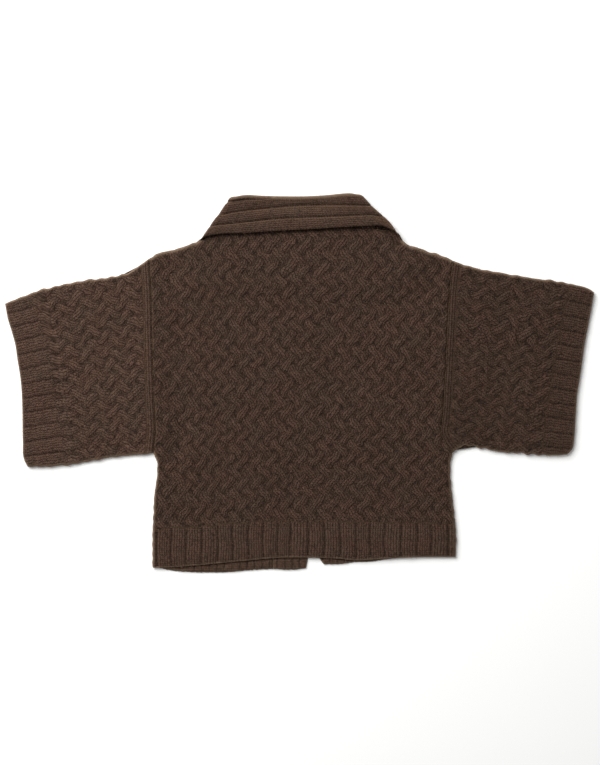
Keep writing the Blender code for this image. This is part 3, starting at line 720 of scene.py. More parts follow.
# the fronts lie face down under the back; only a strip of them shows below its hem
fronts = {
    "spacing": 2.4,
    "bandSpacing": 1.6,
    "spacingUnder": 9.0,
    "ribPitch": 12.0,  # mm, the wrong side's narrower ribs
    "edge": 1.0,  # mm that the wall keeps at its edge
    "rounded": 2.5,
    "pressed": (1.9, 2.6),  # how deep and how wide the back's hem presses in
    # mm that the strip below the hem stands up again, mm from the hem, over how many, and below which y
    "swollen": (0.7, 2, 4, -260),
    "paintedRimLight": (3, 0.7),  # painted highlight along the hem: mm in from the edge, and how much
    "ragged": (0.5, 3, 2.4),  # mm of unevenness, points from the ends that stay calmer, and its size
    "leftHem": [
        (-231, -294), (-213.5, -298.2), (-170.5, -302.4), (-148, -302.8), (-116, -302.4), (-79, -299.2),
        (-42.5, -297.2),
    ],
    "rightHem": [(87.3, -286.5), (116, -285.2), (133.5, -282.9), (193, -275.5), (244, -274.5)],
    "leftNeck": [(-112, 246), (-103, 229), (-87, 213), (-66.5, 201), (-42.5, 194.5)],
    "rightNeck": [(119, 246), (110.5, 229), (94.5, 213), (79, 201.5), (77.3, 194.5)],
    "leftBand": [
        (-42.2, -297.2), (-15, -298.7), (5.5, -296.7), (10.5, -295.5), (13.5, -280), (16, -187),
        (17, 194.5), (-42.2, 194.5),
    ],
    "rightBand": [(22.5, 194.5), (25, -187), (32, -281), (39, -290), (60, -289.5), (87, -286.5), (77, 194.5)],
}


def frontKnitPlace(x, y):
    return (x + 0.8 * softWaves(x, y, 5, 85)) / fronts["ribPitch"], y / yarn["cableRow"]


def wornEdge(points, seed):
    # the cast-off edge of the fronts is a little ragged
    line = smoothLine(points, 1.5)
    most, steps, size = fronts["ragged"]
    line[:, 1] += most * fromEnds(line, steps) * softWaves(line[:, 0], 0, size, seed)
    return line


def frontPiece(name, outline, hem, spacing):
    edge = np.vstack([outline, outline[:1]])
    rise, start, over, below = fronts["swollen"]
    wide, most = fronts["paintedRimLight"]

    def top(x, y):
        hemGap = gapTo("hem", x, y)
        swollen = rise * easeIn((hemGap - start) / over) * (y < below)
        wall = layers["frontWall"] - fronts["edge"] + swollen - groove(hemGap, *fronts["pressed"])
        rounding = roundedEdge(distanceTo(edge, x, y), fronts["rounded"])
        return collarLift(x, y) + fronts["edge"] + wall * rounding

    def rimAt(x, y):
        # painted highlight along the hem's edge
        return most * easeIn(1 - distanceTo(np.array(hem, float), x, y) / wide)

    return panelPiece(
        name, outline, spacing, top, collarLift, frontKnitPlace, [frontsPaintedLighterFinish], rimAt,
        low=fronts["spacingUnder"],
    )


leftFrontOutline = joinLines(
    wornEdge(fronts["leftHem"], 81), smoothLine(fronts["leftNeck"])[::-1], *leftDown[:2], leftDown[2][:-4]
)
rightFrontOutline = joinLines(
    wornEdge(fronts["rightHem"], 82), rightUp[0][3:], *rightUp[1:], smoothLine(fronts["rightNeck"])
)
leftBand, rightBand = fronts["leftBand"], fronts["rightBand"]
leftBandEdge = np.vstack([wornEdge(leftBand[:4], 83), leftBand[4:]])
rightBandEdge = np.vstack([rightBand[:3], wornEdge(rightBand[3:6], 84), rightBand[6:]])
leftFrontKnit = frontPiece("leftFrontKnit", leftFrontOutline, fronts["leftHem"], fronts["spacing"])
rightFrontKnit = frontPiece("rightFrontKnit", rightFrontOutline, fronts["rightHem"], fronts["spacing"])
leftBandKnit = frontPiece("leftBandKnit", leftBandEdge, leftBand[:5], fronts["bandSpacing"])
rightBandKnit = frontPiece("rightBandKnit", rightBandEdge, rightBand[1:6], fronts["bandSpacing"])
print("body made")


# each sleeve is one flattened tube of knitting, its wales fanning out from a far centre
sleeves = {
    "leftSleeveKnit": {
        "side": -1,
        "armhole": body["leftArmhole"],
        "fold": [
            (-240.3, 199), (-253.5, 189), (-264, 181.5), (-276, 176), (-292, 171.5), (-322.5, 166.5),
            (-346.5, 163.5), (-383, 156.5), (-415, 148.5), (-436, 140.5), (-458.5, 132), (-470.5, 127),
        ],
        "cuff": [
            (-434, -134), (-439.8, -122.5), (-442, -91), (-442.8, -43), (-444, -11), (-446.5, 13),
            (-450.5, 37), (-454, 61), (-460.5, 85), (-465.5, 101), (-470.5, 127),
        ],
        "underarm": [
            (-233.8, -111.5), (-245.5, -113.5), (-274.5, -116), (-293.5, -118.3), (-322.5, -122.8),
            (-351, -127.8), (-380, -132.3), (-399, -134), (-434, -134),
        ],
        "seam": [(-237.6, -96), (-300, -101.6), (-347, -106.8), (-400, -112.5), (-440, -120)],
        "centre": (-2076, -329.5), "ribRadius": 1714, "firstGroove": 7.42, "grooveStep": 0.788,
        "cableStart": (0.0, 0.0),
        "drift": {
            "x": [-358, -329, -300, -271], "y": [133, 82, 30, -21, -72],
            "aside": [[20, 20, 16, 11], [17.5, 14.4, 9.6, 4.4], [13.5, 9.6, 6.4, 2.2], [10, 5.6, 3.6, 0],
                      [6.4, 3.2, -1, -5.4]],
            "down": [[13, 14.4, 17, 18], [11, 9.6, 12.8, 15], [9.6, 10, 10.4, 10.4], [10.5, 10.4, 10.6, 10],
                     [9.6, 7, 6.4, 8]],
        },
        "forms": [
            (-330, 30, 120, 50, 80, 1.2), (-370, -20, 90, 40, 60, -1.2), (-290, -60, 80, 40, 70, 1.0),
            (-400, 60, 90, 40, 75, 1.0),
        ],
    },
    "rightSleeveKnit": {
        "side": 1,
        "armhole": body["rightArmhole"],
        "fold": [
            (245.3, 195.5), (265, 188.5), (292, 182), (311, 178), (349.5, 171.5), (388, 166), (407, 163.5),
            (436, 157.5), (465, 149.5), (470.5, 145),
        ],
        "cuff": [
            (427.5, -114.3), (435.8, -105), (438.5, -91), (440.2, -67), (441.8, -43), (443.4, -19),
            (447.8, 8), (451.5, 33.5), (455.2, 61), (462.2, 97.5), (467.3, 125), (470.5, 145),
        ],
        "underarm": [
            (244.8, -111.5), (254.5, -104.5), (263, -101), (273, -101), (292, -104.3), (311, -108.3),
            (330.5, -110.7), (353, -112.8), (388, -115.5), (427.5, -114.3),
        ],
        "seam": [(232, -83), (266.4, -82.2), (287.2, -89.6), (370.4, -96), (432.8, -100.8)],
        "centre": (2593, -336), "ribRadius": 2217, "firstGroove": 6.1, "grooveStep": 0.61,
        "cableStart": (0.5, 1.0),
        "drift": {
            "x": [289, 321, 353], "y": [133, 107, 82, 56, 30, 5, -21, -46, -72],
            "aside": [[-8, -9, -8], [-6, -6, -7], [-3, -4, -4], [-1, -4.4, -7.6], [1, -2.4, -9], [4.4, 1, -8],
                      [4, 2.4, -7], [3, 0.4, -6.4], [4, 0, -7]],
            "down": [[4, 2, 1], [0, -1, -1.6], [3.2, 4, 4], [9.6, 9.6, 9.6], [9, 6, 5.6], [6, 4, 4],
                     [4.8, 4.8, 4.8], [2.4, 4, 4.8], [-1, 1, 1.6]],
        },
        "forms": [
            (322, 20, 130, 44, 85, -2.6), (292, 40, 120, 40, 85, 1.6), (420, 20, 90, 30, 80, -1.4),
            (395, -20, 90, 40, 75, 1.0), (350, -80, 90, 30, 10, -1.2),
        ],
    },
}
sleeveCut = {
    "row": 19.8,  # mm of a cable row
    "strip": 13.0,  # mm of plain knitting beside the armhole
    "wall": 3.0,
    "slot": 0.3,
    "margin": 3.2,
    "high": 275.0,  # about the height of the flattened sleeve
    "atFold": (0, 0.5, 1.3, 2.6, 4.2),  # mm from a fold, closer where the wall turns
    "upper": (5.8, 142),  # mm from a fold to the first of the even points, and how many there are
    "lower": (8, 24),
    "along": 118,  # rows from the armhole to the cuff, about as far apart
    "alongInside": 5,
    "seamGroove": (1.3, 1.7),  # how deep and how wide
    "stripGroove": (0.7, 1.6),
    "stripCrown": (1.6, 0.4, 6.5),  # its height, how much it is domed, and mm from the armhole to its middle
    "ribBlend": 5,  # mm in which the ribs turn into the cable
    "straightCuff": 25,  # mm past the cuff's straight ribs in which the stitches begin to drift
    "foldBumps": (0.9, 12, 7, 72),  # mm they stand out, mm in from a fold, size and seed
    "rise": 1.7,  # mm above the slot towards which the upper wall's ends are rounded
    "foldRound": 4.0,
    "cuffRound": 2.8,
    "seamRound": (2.4, 0.6),  # and how unevenly
    "seamKeeps": 0.35,  # share of its height that the upper wall keeps at the armhole
}


def sleevePiece(name, cut):
    side = cut["side"]
    seam = smoothLine([(x + side * 0.3, y) for x, y in cut["armhole"]])
    keys = ("fold", "cuff", "underarm", "seam")
    fold, cuff, underarm, underarmSeam = (smoothLine(cut[key]) for key in keys)
    seam[0], seam[-1] = underarm[0], fold[0]
    high = sleeveCut["high"]
    edge = np.array(sleeveCut["atFold"]) / high
    fine, coarse = (
        np.linspace(first / high, 1 - first / high, count)
        for first, count in (sleeveCut["upper"], sleeveCut["lower"])
    )
    upper = np.concatenate([edge, fine, 1 - edge[::-1]])
    lower = np.concatenate([1 - edge[1:], coarse[::-1], edge[:0:-1]])
    share = np.concatenate([upper, lower])
    isUpper = np.arange(len(share)) < len(upper)
    u = np.concatenate([[0, 0.004], np.linspace(0.012, 0.988, sleeveCut["along"]), [0.996, 1]])

    def planOf(u, v):
        low, high = spread(underarm, u), spread(fold, u)
        start, end = spread(seam, v), spread(cuff, v)
        uu, vv = u[:, None, None], v[None, :, None]
        corners = (
            (1 - uu) * (1 - vv) * underarm[0] + uu * (1 - vv) * underarm[-1]
            + (1 - uu) * vv * fold[0] + uu * vv * fold[-1]
        )
        between = (1 - vv) * low[:, None] + vv * high[:, None]
        return between + (1 - uu) * start[None] + uu * end[None] - corners

    def knitPlace(x, y):
        dx, dy = -side * (x - cut["centre"][0]), y - cut["centre"][1]
        past = np.hypot(dx, dy) - cut["ribRadius"]  # mm from the cuff's ribs into the cable
        pulled = easeIn(past / sleeveCut["straightCuff"])
        dx = dx + side * fromTable(cut["drift"], "aside", x, y) * pulled + 0.7 * softWaves(x, y, 9, 34)
        dy = dy + fromTable(cut["drift"], "down", x, y) * pulled + 0.8 * softWaves(x, y, 9, 33)
        across = (np.degrees(np.arctan2(dy, dx)) - cut["firstGroove"]) / cut["grooveStep"]
        along = (np.hypot(dx, dy) - cut["ribRadius"]) / sleeveCut["row"]
        first, row = cut["cableStart"]
        return across + first * (past > 0), along + row * (past > 0), past

    plan = planOf(u, share)
    foldGap = np.minimum(share, 1 - share)[None, :] * high
    calm = easeIn(np.minimum(u, 1 - u) * 12)[:, None]
    bump, wide, size, seed = sleeveCut["foldBumps"]
    bumps = bump * easeIn(1 - foldGap / wide) * calm  # small bumps along the two folds
    plan[..., 1] += bumps * softWaves(plan[..., 0], plan[..., 1] * 0.05, size, seed)
    x, y = plan[..., 0], plan[..., 1]
    across, along, past = knitPlace(x, y)
    seamGap, cuffGap = distanceTo(seam[::2], x, y), distanceTo(cuff[::2], x, y)
    inRib, inStrip = past < 0, seamGap < sleeveCut["strip"]
    cable = cableRelief(across, along, 1 + basketCable["uneven"] * softWaves(x, y, 8, 12))
    rib = ribRelief(across, 1.3 + 0.5 * softWaves(x * 0.3, y, 14, 14), 1.0)
    base, dome, halfway = sleeveCut["stripCrown"]
    strip = base + dome * np.cos((seamGap - halfway) / halfway * math.pi * 0.8)
    strip = strip - groove(seamGap - sleeveCut["strip"] + 0.5, *sleeveCut["stripGroove"])
    blend = easeIn(past / sleeveCut["ribBlend"] + 0.5)
    relief = np.where(inStrip, strip, rib * (1 - blend) + cable * blend)
    relief = relief - groove(distanceTo(underarmSeam[::2], x, y), *sleeveCut["seamGroove"])
    top = layers["backBase"] + relief + softForms(x, y, cut["forms"]) + 0.5 * softWaves(x, y, 60, 22)
    middle = sleeveCut["wall"] + sleeveCut["slot"] / 2
    wallMiddle = middle + sleeveCut["rise"]
    sideways = roundedEdge(foldGap, sleeveCut["foldRound"])
    radius, uneven = sleeveCut["seamRound"]
    seamEnd = roundedEdge(seamGap, radius + uneven * softWaves(x, y, 9, 62))
    seamEnd = sleeveCut["seamKeeps"] + (1 - sleeveCut["seamKeeps"]) * seamEnd
    endwise = np.minimum(roundedEdge(cuffGap, sleeveCut["cuffRound"]), seamEnd)
    upperHeight = wallMiddle + (top - wallMiddle) * endwise
    upperHeight = middle + (upperHeight - middle) * sideways
    lowerHeight = (1.3 - 1.3 * endwise) * sideways + middle * (1 - sideways)
    outer = np.stack([x, y, np.where(isUpper[None, :], upperHeight, lowerHeight)], -1)

    # the slot inside runs from the cuff to the armhole
    inside = np.clip(share, sleeveCut["margin"] / high, 1 - sleeveCut["margin"] / high)
    planIn = planOf(np.linspace(0.996, 0.004, sleeveCut["alongInside"]), inside)
    zIn = np.where(isUpper, sleeveCut["wall"] + sleeveCut["slot"], sleeveCut["wall"])[None, :]
    inner = np.concatenate([planIn, np.broadcast_to(zIn[..., None], planIn.shape[:2] + (1,))], -1)
    rings = np.concatenate([outer, inner])
    knit = np.stack(knitPlace(rings[..., 0], rings[..., 1])[:2], -1)
    beside = np.stack([seamGap / ribPitch, y / yarn["cableRow"]], -1)  # its wales run along the armhole
    knit[:len(outer)][inStrip] = beside[inStrip]
    finish = np.full(rings.shape[:2], 2)
    finish[:len(outer)] = np.where(inStrip, 2, np.where(inRib, 1, 0))
    rim = np.zeros(rings.shape[:2])
    # painted highlight along the folds and at the cuff, and painted shade beside the armhole seam
    rim[:len(outer)] = np.maximum(easeIn(1 - foldGap / 5), 0.8 * easeIn(1 - cuffGap / 4))
    rim[:len(outer)] -= 0.9 * shadeBesideSeam(seamGap, x, y)
    if side > 0:
        rings, knit, finish, rim = (values[:, ::-1] for values in (rings, knit, finish, rim))
    piece = ringPiece(name, rings, knit, litAndShadedSleeveFinishes[side], rim, finish, closed=True)
    return piece, areaOf(joinLines(underarm, cuff, fold[::-1], seam[::-1])) * 2


leftSleeveKnit, leftSleeveFlat = sleevePiece("leftSleeveKnit", sleeves["leftSleeveKnit"])
rightSleeveKnit, rightSleeveFlat = sleevePiece("rightSleeveKnit", sleeves["rightSleeveKnit"])
print("sleeves made")


# the collar is one ribbed strip: a stand up from the neck seam to the fold, and a fall back down from it
collar = {
    # fold x, y; first groove x, y; second groove x, y; free edge x, y; neck seam x, y; rise of the edge
    "back": [
        (-101.5, 297.2, -120.5, 268.6, -134, 251.3, -150.5, 233, -111, 247.5, 1.2),
        (-85, 299.8, -99, 273, -111, 253.5, -126, 237.4, -101, 254.2, 1.8),
        (-60, 299, -66, 277, -75, 257.5, -86, 238.8, -86, 256.7, 2.4),
        (-25, 298.3, -28, 281, -33, 262, -38, 241.8, -40, 257.9, 2.8),
        (10, 298.3, 11, 283.7, 13, 264.2, 16, 244.5, 10, 258.8, 3.2),
        (40, 299.8, 45, 284, 53, 265.4, 62, 247.4, 50, 259.2, 3.6),
        (70, 302.2, 80, 283.3, 93, 267, 108, 249.8, 89, 259.7, 4.2),
        (82.5, 302.4, 94, 283, 110, 267.8, 132, 249.5, 104, 253.4, 4.4),
        (90, 300.9, 106.5, 282.5, 123, 266.8, 153.5, 240, 118, 247.5, 4.0),
    ],
    "frontLeft": [
        (17, 239, 17, 214, 17, 194, 17, 173, 17, 195.3, 0),
        (-32, 240, -36.5, 215, -40, 195, -44, 174, -42.5, 195.3, 0),
        (-52, 246, -59, 220, -64, 200, -70, 178, -66, 201.9, 0),
        (-74, 257, -83, 231.5, -90, 211.5, -98, 190, -86.3, 213.9, 0),
        (-92, 272, -102.6, 249, -111, 231, -120, 212, -102.2, 229.9, 0),
    ],
    "frontRight": [
        (99, 272, 107, 254.6, 115, 237, 126, 214, 109.7, 229.9, 0),
        (82, 257, 90, 231.5, 97, 211.5, 104, 190, 93.7, 213.9, 0),
        (62, 246.5, 69, 220, 74, 200, 80, 178, 78.4, 202.4, 0),
        (45, 240, 50, 215, 54, 195, 58, 174, 64.5, 195.3, 0),
        (22.5, 239, 22.5, 214, 22.5, 194, 22.5, 173, 22.5, 195.3, 0),
    ],
    "rollGroove": [
        (-124, 284), (-111, 287.2), (-95, 289.6), (-79, 291.7), (-66, 292.6), (-53, 294), (-30, 298),
    ],
    "roll": {"deep": 2.6, "half": 1.9, "ends": -62, "over": 40},  # it runs out from x ends, over some mm
    "rollShare": [0.31, 0.34, 0.28, 0, 0, 0, 0, 0, 0],  # of the way to the first groove, for each row of back
    "layers": {  # distance from the middle of the flattened neck, in front and at the back
        "standInner": (0.15, 0.15), "standOuter": (3.15, 2.85),
        "fallInner": (3.45, 5.55), "fallOuter": (7.45, 9.6),
    },
    "middle": 7.45,  # height of that middle
    "crown": 1.5,
    "groove": 2.5,
    "grooveHalf": 1.7,
    "endCrown": 0.35,  # share of the ribs' height that is left at the fold's ends, where they close up
    "endGroove": 0.12,  # and of their grooves
    "foldHighlight": 6.5,  # mm from the fold on which a painted highlight shows
    "foldRound": 5.0,
    "edgeRound": 2.2,
    "droop": {-1: 32.0, 0: 0.0, 1: 49.0},  # degrees that each end's corner turns down round the shoulder
    "hang": {-1: 0.1, 0: 0.0, 1: 0.45},  # and how much further it reaches
    "cornerFrom": (0.5, 0.42),  # shares of the fall from which it does the one and the other
    "fallPoints": (13, 12, 13),
    "measured": 16,  # the point of a ring along which the rows are counted, just past the fold
    # nothing holds the fold up between its ends, so it sinks to the table: from x left to x right and
    # above y low, over some mm from each
    "sag": {"deep": 6.0, "left": -88, "right": 78, "over": 45, "low": 262, "overLow": 30},
}
# each half of the front meets the back at an end of the fold
collar["frontLeft"].append((*collar["back"][0][:-1], 0))
collar["frontRight"].insert(0, (*collar["back"][-1][:-1], 0))


def toward(start, end):
    # the direction from one point to another
    return (end - start) / max(1e-6, np.linalg.norm(end - start))


def collarSection(fold, first, second, free, seam, angle):
    # points round the wall: place in the plan, distance from the neck's middle, place across the ribs
    backShare = (1 + math.sin(angle)) / 2
    depth = {key: a + (b - a) * backShare for key, (a, b) in collar["layers"].items()}
    inner, outer = depth["standInner"], depth["fallOuter"]
    section = [(fold + (seam - fold) * t, inner, -t * 2) for t in (1.0, 0.7, 0.45, 0.25)]
    for degrees in np.linspace(15, 165, 9):  # over the fold
        turned = math.radians(degrees)
        inwards = collar["foldRound"] * (1 - math.sin(turned))
        reached = inner + (outer + 0.4 - inner) * ((1 - math.cos(turned)) / 2)
        plan = fold + toward(fold, seam if degrees < 90 else first) * inwards
        section.append((plan, reached, (degrees - 90) / 900))
    marks = [fold + toward(fold, first) * collar["foldRound"] * 1.1, first, second, free]
    leastCrown, leastGroove = collar["endCrown"], collar["endGroove"]
    for rib, (a, b, count) in enumerate(zip(marks, marks[1:], collar["fallPoints"])):
        wide = np.linalg.norm(b - a) + 1e-6
        for t in np.linspace(0, 1, count, endpoint=False)[1 if rib == 0 else 0:]:
            if rib:
                place, crown, gap = t, 1 - (2 * t - 1) ** 2, min(t, 1 - t)
            else:  # the first rib comes round the fold, so it has one groove only
                place = 0.25 + 0.75 * t
                crown, gap = 1 - max(0, 2 * place - 1) ** 2, 1 - place
            crown *= leastCrown + (1 - leastCrown) * math.sin(angle) ** 2
            sunk = groove(gap * wide, 1, collar["grooveHalf"])
            sunk *= leastGroove + (1 - leastGroove) * abs(math.sin(angle)) ** 3
            lift = collar["crown"] * crown - collar["groove"] * sunk
            lift = lift * backShare + min(lift, 0) * (1 - backShare)  # flat where it lies on the floor
            section.append((a + (b - a) * t, outer + lift, rib + place))
    thick = outer - depth["fallInner"]
    for degrees in (20, 50, 80, 120, 160):  # round the free edge
        turned = math.radians(degrees)
        plan = free + toward(second, free) * (math.sin(turned) * collar["edgeRound"] - collar["edgeRound"])
        section.append((plan, depth["fallInner"] + thick * (1 + math.cos(turned)) / 2, 2.9 + degrees / 900))
    section += [(fold + (free - fold) * t, depth["fallInner"], 3 + t) for t in (0.75, 0.5, 0.25)]
    slot = depth["fallInner"] - depth["standOuter"]
    for degrees in (170, 130, 90, 50, 10):  # inside the fold
        turned = math.radians(degrees)
        plan = fold + toward(fold, free if degrees > 90 else seam) * (4.0 + 1.2 * (1 - math.sin(turned)))
        section.append((plan, depth["standOuter"] + slot * ((1 - math.cos(turned)) / 2), 3.1))
    halfway = fold + (seam - fold) * 0.5
    return section + [(halfway, depth["standOuter"], 3.2), (seam, depth["standOuter"], 3.3)]


def collarRings():
    stretches = [  # shares of a table's rows, degrees round the neck, table, side of the fold's end
        (np.linspace(0, 1, 26), np.full(26, -90.0), "frontLeft", 0),
        (np.zeros(9), np.linspace(-70, 70, 9), "back", -1),
        (np.linspace(0, 1, 150), np.full(150, 90.0), "back", 0),
        (np.ones(9), np.linspace(70, -70, 9), "back", 1),
        (np.linspace(0, 1, 26), np.full(26, -90.0), "frontRight", 0),
    ]
    rings, knits, rims = [], [], []
    walked = 0.0
    previous = None
    rollGroove = smoothLine(collar["rollGroove"])
    roll, dip = collar["roll"], collar["sag"]
    for shares, turns, key, side in stretches:
        rows = np.array(collar[key], float)
        stations = np.linspace(0, 1, len(rows))
        curves = [smoothLine(np.column_stack([stations * 1000, rows[:, k]]), 5.0) for k in range(11)]
        for share, turn in zip(shares, turns):
            place = [float(np.interp(share * 1000, *curve.T)) for curve in curves]
            fold, first, second, free, seam = (np.array(place[k:k + 2]) for k in (0, 2, 4, 6, 8))
            angle = math.radians(turn)
            backShare = (1 + math.sin(angle)) / 2
            section = collarSection(fold, first, second, free, seam, angle)
            ring = []
            for plan, distance, across in section:
                fallen = np.linalg.norm(plan - fold) / np.linalg.norm(free - fold)
                if 0 <= across < 3.1:
                    distance += place[10] * min(1, fallen) ** 2 * backShare
                if 0 <= across < 1.2 and key == "back":
                    gap = float(distanceTo(rollGroove, *plan))
                    fade = 1 - easeIn((plan[0] - roll["ends"]) / roll["over"])
                    distance -= roll["deep"] * fade * groove(gap, 1, roll["half"]) * backShare
                bent, longer = (float(easeIn((fallen - start) / start)) for start in collar["cornerFrom"])
                droop = math.radians(collar["droop"][side]) * bent
                reach = 1 + collar["hang"][side] * longer
                outward = distance * math.cos(angle) * reach
                x = plan[0] + side * outward * math.cos(droop)
                y = plan[1] - abs(side) * outward * math.sin(droop)
                sag = easeIn((x - dip["left"]) / dip["over"]) * easeIn((dip["right"] - x) / dip["over"])
                sag = float(sag * easeIn((y - dip["low"]) / dip["overLow"]) * max(0, math.sin(angle)))
                ring.append((x, y, collar["middle"] + distance * math.sin(angle) - dip["deep"] * sag))
            outer = np.array(ring[collar["measured"]])
            walked += 0 if previous is None else float(np.linalg.norm(outer - previous))
            previous = outer
            rings.append(ring)
            start = float(np.interp(share, stations, collar["rollShare"])) if key == "back" else 0
            knits.append([
                ((across - start) / (1 - start) if start < across < 1 else across - start * (across < 1),
                 walked / yarn["cableRow"]) for _, _, across in section
            ])
            # painted highlight along the fold
            rims.append([
                easeIn(1 - np.linalg.norm(plan - fold) / collar["foldHighlight"]) if -0.12 < across < 1 else 0.0
                for plan, _, across in section
            ])
    return np.array(rings), np.array(knits), np.array(rims)


rings, knits, rims = collarRings()
collarKnit = ringPiece("collarKnit", rings, knits, [ribFinish], rims)
print("collar made")


# a sparse nap: short bent fibres that stand off the wool and soften its outline
nap = {
    "length": 3.4,
    "thickness": 0.1,  # its radius, about eight times a real fibre's, so that it shows
    "density": 3.6,  # to a square centimetre
    "upward": (-0.2, 0.6),  # how far the wool has to face up for fibres to grow, and for all of them
    "sizes": (0.5, 1.3),
    "lean": 62.0,  # degrees from upright, at most
    "bend": 0.45,  # share of its length that its tip bends aside
    "fibre": "#6f5a4b",
}


def napTree(finish):
    tree = bpy.data.node_groups.new("nap", "GeometryNodeTree")
    add = partial(addNode, tree)
    tree.interface.new_socket("Wool", in_out="INPUT", socket_type="NodeSocketGeometry")
    for name in ("Density", "Length", "Thickness", "Lean", "Lowest"):
        tree.interface.new_socket(name, in_out="INPUT", socket_type="NodeSocketFloat")
    tree.interface.new_socket("Seed", in_out="INPUT", socket_type="NodeSocketInt")
    tree.interface.new_socket("Fibres", in_out="OUTPUT", socket_type="NodeSocketGeometry")
    given = tree.nodes.new("NodeGroupInput").outputs
    height = add("SeparateXYZ", add("GeometryNodeInputPosition"), out=2)
    upward = add("SeparateXYZ", add("GeometryNodeInputNormal"), out=2)
    above = add("GREATER_THAN", height, given["Lowest"])
    least, most = nap["upward"]
    grows = add("MULTIPLY", above, add("GREATER_THAN", upward, least))
    sparser = add("MULTIPLY_ADD", add("LESS_THAN", upward, most), -0.5, 1.0)  # half as many on the edges
    density = add("MULTIPLY", sparser, given["Density"])
    scattered = add(
        "GeometryNodeDistributePointsOnFaces", given["Wool"],
        named={"Selection": grows, "Density": density, "Seed": given["Seed"]},
    ).node.outputs
    bend = add("MULTIPLY", given["Length"], nap["bend"])
    strand = add(
        "GeometryNodeCurveQuadraticBezier",
        named={"Resolution": 2, "Start": (0.0, 0.0, 0.0), "Middle": add("CombineXYZ", 0.0, 0.0, bend),
               "End": add("CombineXYZ", bend, 0.0, given["Length"])},
    )
    section = add("GeometryNodeCurvePrimitiveCircle", named={"Resolution": 3, "Radius": given["Thickness"]})
    fibre = add("GeometryNodeCurveToMesh", strand, section, named={"Fill Caps": True})
    aside, around, sizes = (
        add("FunctionNodeRandomValue", named={2: low, 3: high, "Seed": seed})
        for low, high, seed in ((0.0, given["Lean"], 3), (0.0, 2 * math.pi, 4), (*nap["sizes"], 5))
    )
    turned = scattered["Rotation"]
    for tilt in (0.0, aside):
        euler = add("FunctionNodeEulerToRotation", add("CombineXYZ", tilt, 0.0, around))
        turned = add("FunctionNodeRotateRotation", turned, euler, rotation_space="LOCAL")
    placed = add(
        "GeometryNodeInstanceOnPoints", scattered["Points"],
        named={"Instance": fibre, "Rotation": turned, "Scale": sizes},
    )
    solid = add("GeometryNodeRealizeInstances", placed)
    add("NodeGroupOutput", add("GeometryNodeSetMaterial", solid, named={"Material": finish}))
    return tree


def napOn(name, piece, lowest, seed):
    fibres = bpy.data.objects.new(name, piece.data.copy())
    bpy.context.scene.collection.objects.link(fibres)
    growth = fibres.modifiers.new("nap", "NODES")
    growth.node_group = napNodes
    asked = {
        "Density": nap["density"] * 1e4,  # to a square metre
        "Length": nap["length"] * mm, "Thickness": nap["thickness"] * mm,
        "Lean": math.radians(nap["lean"]), "Lowest": lowest * mm, "Seed": seed,
    }
    for socket in napNodes.interface.items_tree:
        if socket.name in asked:
            growth[socket.identifier] = asked[socket.name]
    grown = bpy.data.meshes.new_from_object(fibres.evaluated_get(bpy.context.evaluated_depsgraph_get()))
    fibres.modifiers.clear()
    fibres.data = grown
    print(name, len(grown.polygons), "faces")
    return fibres


# loose ends of lambswool: paler than the yarn because light passes through them
napFinish, add = newMaterial("lambswool fibre")
add("OutputMaterial", add("BsdfPrincipled", linear(nap["fibre"]), named={"Roughness": 0.7, "IOR": 1.55}))
napNodes = napTree(napFinish)
fibrePieces = [
    napOn(name, piece, lowest, seed) for name, piece, lowest, seed in (
        ("backNap", backKnit, 4.5, 11), ("leftSleeveNap", leftSleeveKnit, 3.5, 12),
        ("rightSleeveNap", rightSleeveKnit, 3.5, 13), ("collarNap", collarKnit, 6.0, 14),
    )
]

# seamless white paper, brightly lit
floorSize = {"side": 6.0, "paper": "#e9e9e8", "below": 0.0005}  # in metres
paper, add = newMaterial("white seamless paper")
grain = add("TexNoise", add("TexCoord", out=3), named={"Scale": 900.0, "Detail": 1.0})
bump = add("Bump", named={"Height": grain, "Distance": 0.00005, "Strength": 0.3})
shade = linear(floorSize["paper"])
add("OutputMaterial", add("BsdfPrincipled", shade, named={"Normal": bump, "Roughness": 0.9}))
floorMesh = bpy.data.meshes.new("floor")
half = floorSize["side"] / 2
corners = [(-half, -half, 0), (half, -half, 0), (half, half, 0), (-half, half, 0)]
floorMesh.from_pydata(corners, [], [(0, 1, 2, 3)])
floorMesh.materials.append(paper)
floor = bpy.data.objects.new("floor", floorMesh)
floor.location.z = -floorSize["below"]
bpy.context.scene.collection.objects.link(floor)

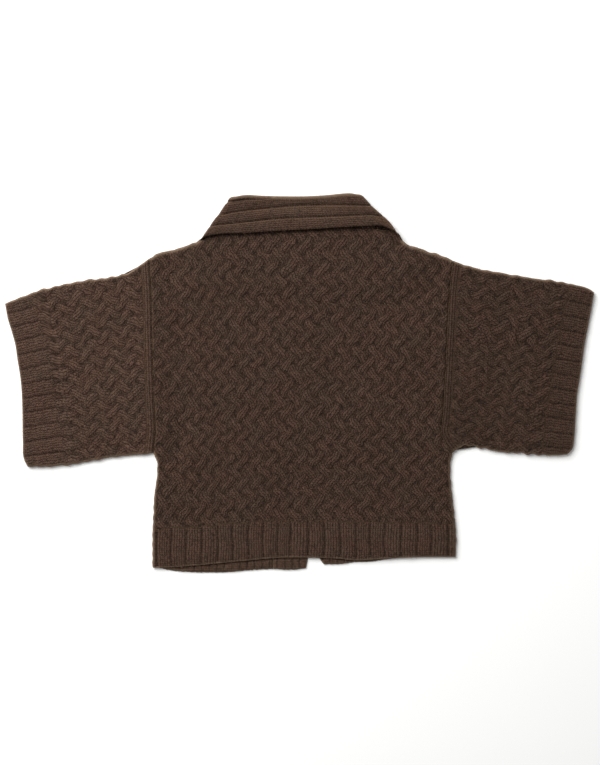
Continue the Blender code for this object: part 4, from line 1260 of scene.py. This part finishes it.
# a white sky and one broad soft lamp, up and to the left; watts and metres
studio = {"sky": 0.4, "power": 162.0, "size": 2.4, "place": (-1.28, 1.58, 1.95)}
world = bpy.data.worlds.new("studio")
bpy.context.scene.world = world
world.use_nodes = True
sky = world.node_tree.nodes["Background"].inputs
sky["Color"].default_value = (1, 1, 1, 1)
sky["Strength"].default_value = studio["sky"]
softbox = bpy.data.lights.new("softbox", "AREA")
softbox.energy = studio["power"]
softbox.size = studio["size"]
keyLight = bpy.data.objects.new("keyLight", softbox)
keyLight.location = studio["place"]
keyLight.rotation_euler = (-Vector(keyLight.location)).to_track_quat("-Z", "Y").to_euler()
bpy.context.scene.collection.objects.link(keyLight)

# the camera looks straight down; a pixel is 1.6 mm wide on the surface
view = {"lens": 85.0, "sensor": 36.0, "pixel": 1.6, "high": 765, "middle": (0.8, 0.8)}
lens = bpy.data.cameras.new("camera")
lens.lens = view["lens"]
lens.sensor_width = view["sensor"]
camera = bpy.data.objects.new("camera", lens)
away = view["high"] * view["pixel"] * view["lens"] / view["sensor"]
camera.location = (view["middle"][0] * mm, view["middle"][1] * mm, away * mm)
bpy.context.scene.collection.objects.link(camera)
bpy.context.scene.camera = camera
bpy.context.scene.view_settings.view_transform = "Standard"

outlines = {
    "leftFrontKnit": leftFrontOutline, "rightFrontKnit": rightFrontOutline,
    "leftBandKnit": fronts["leftBand"], "rightBandKnit": fronts["rightBand"], "backKnit": backOutline,
}
pieces = {
    backKnit: ("back", "cable_knit", ["left_front", "right_front"]),
    leftFrontKnit: ("left_front", "cable_knit", []),
    rightFrontKnit: ("right_front", "cable_knit", []),
    leftBandKnit: ("left_band", "rib_knit", []),
    rightBandKnit: ("right_band", "rib_knit", []),
    leftSleeveKnit: ("left_sleeve", "cable_knit", []),
    rightSleeveKnit: ("right_sleeve", "cable_knit", []),
    collarKnit: ("collar", "rib_knit", ["back"]),
}
for piece, (node, slot, under) in pieces.items():
    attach(piece, "root")
    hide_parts(node)
for fibres in fibrePieces:
    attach(fibres, "root")
for name, outline in outlines.items():
    across, along = np.ptp(np.asarray(outline, float), axis=0) * mm
    areaOf(outline)
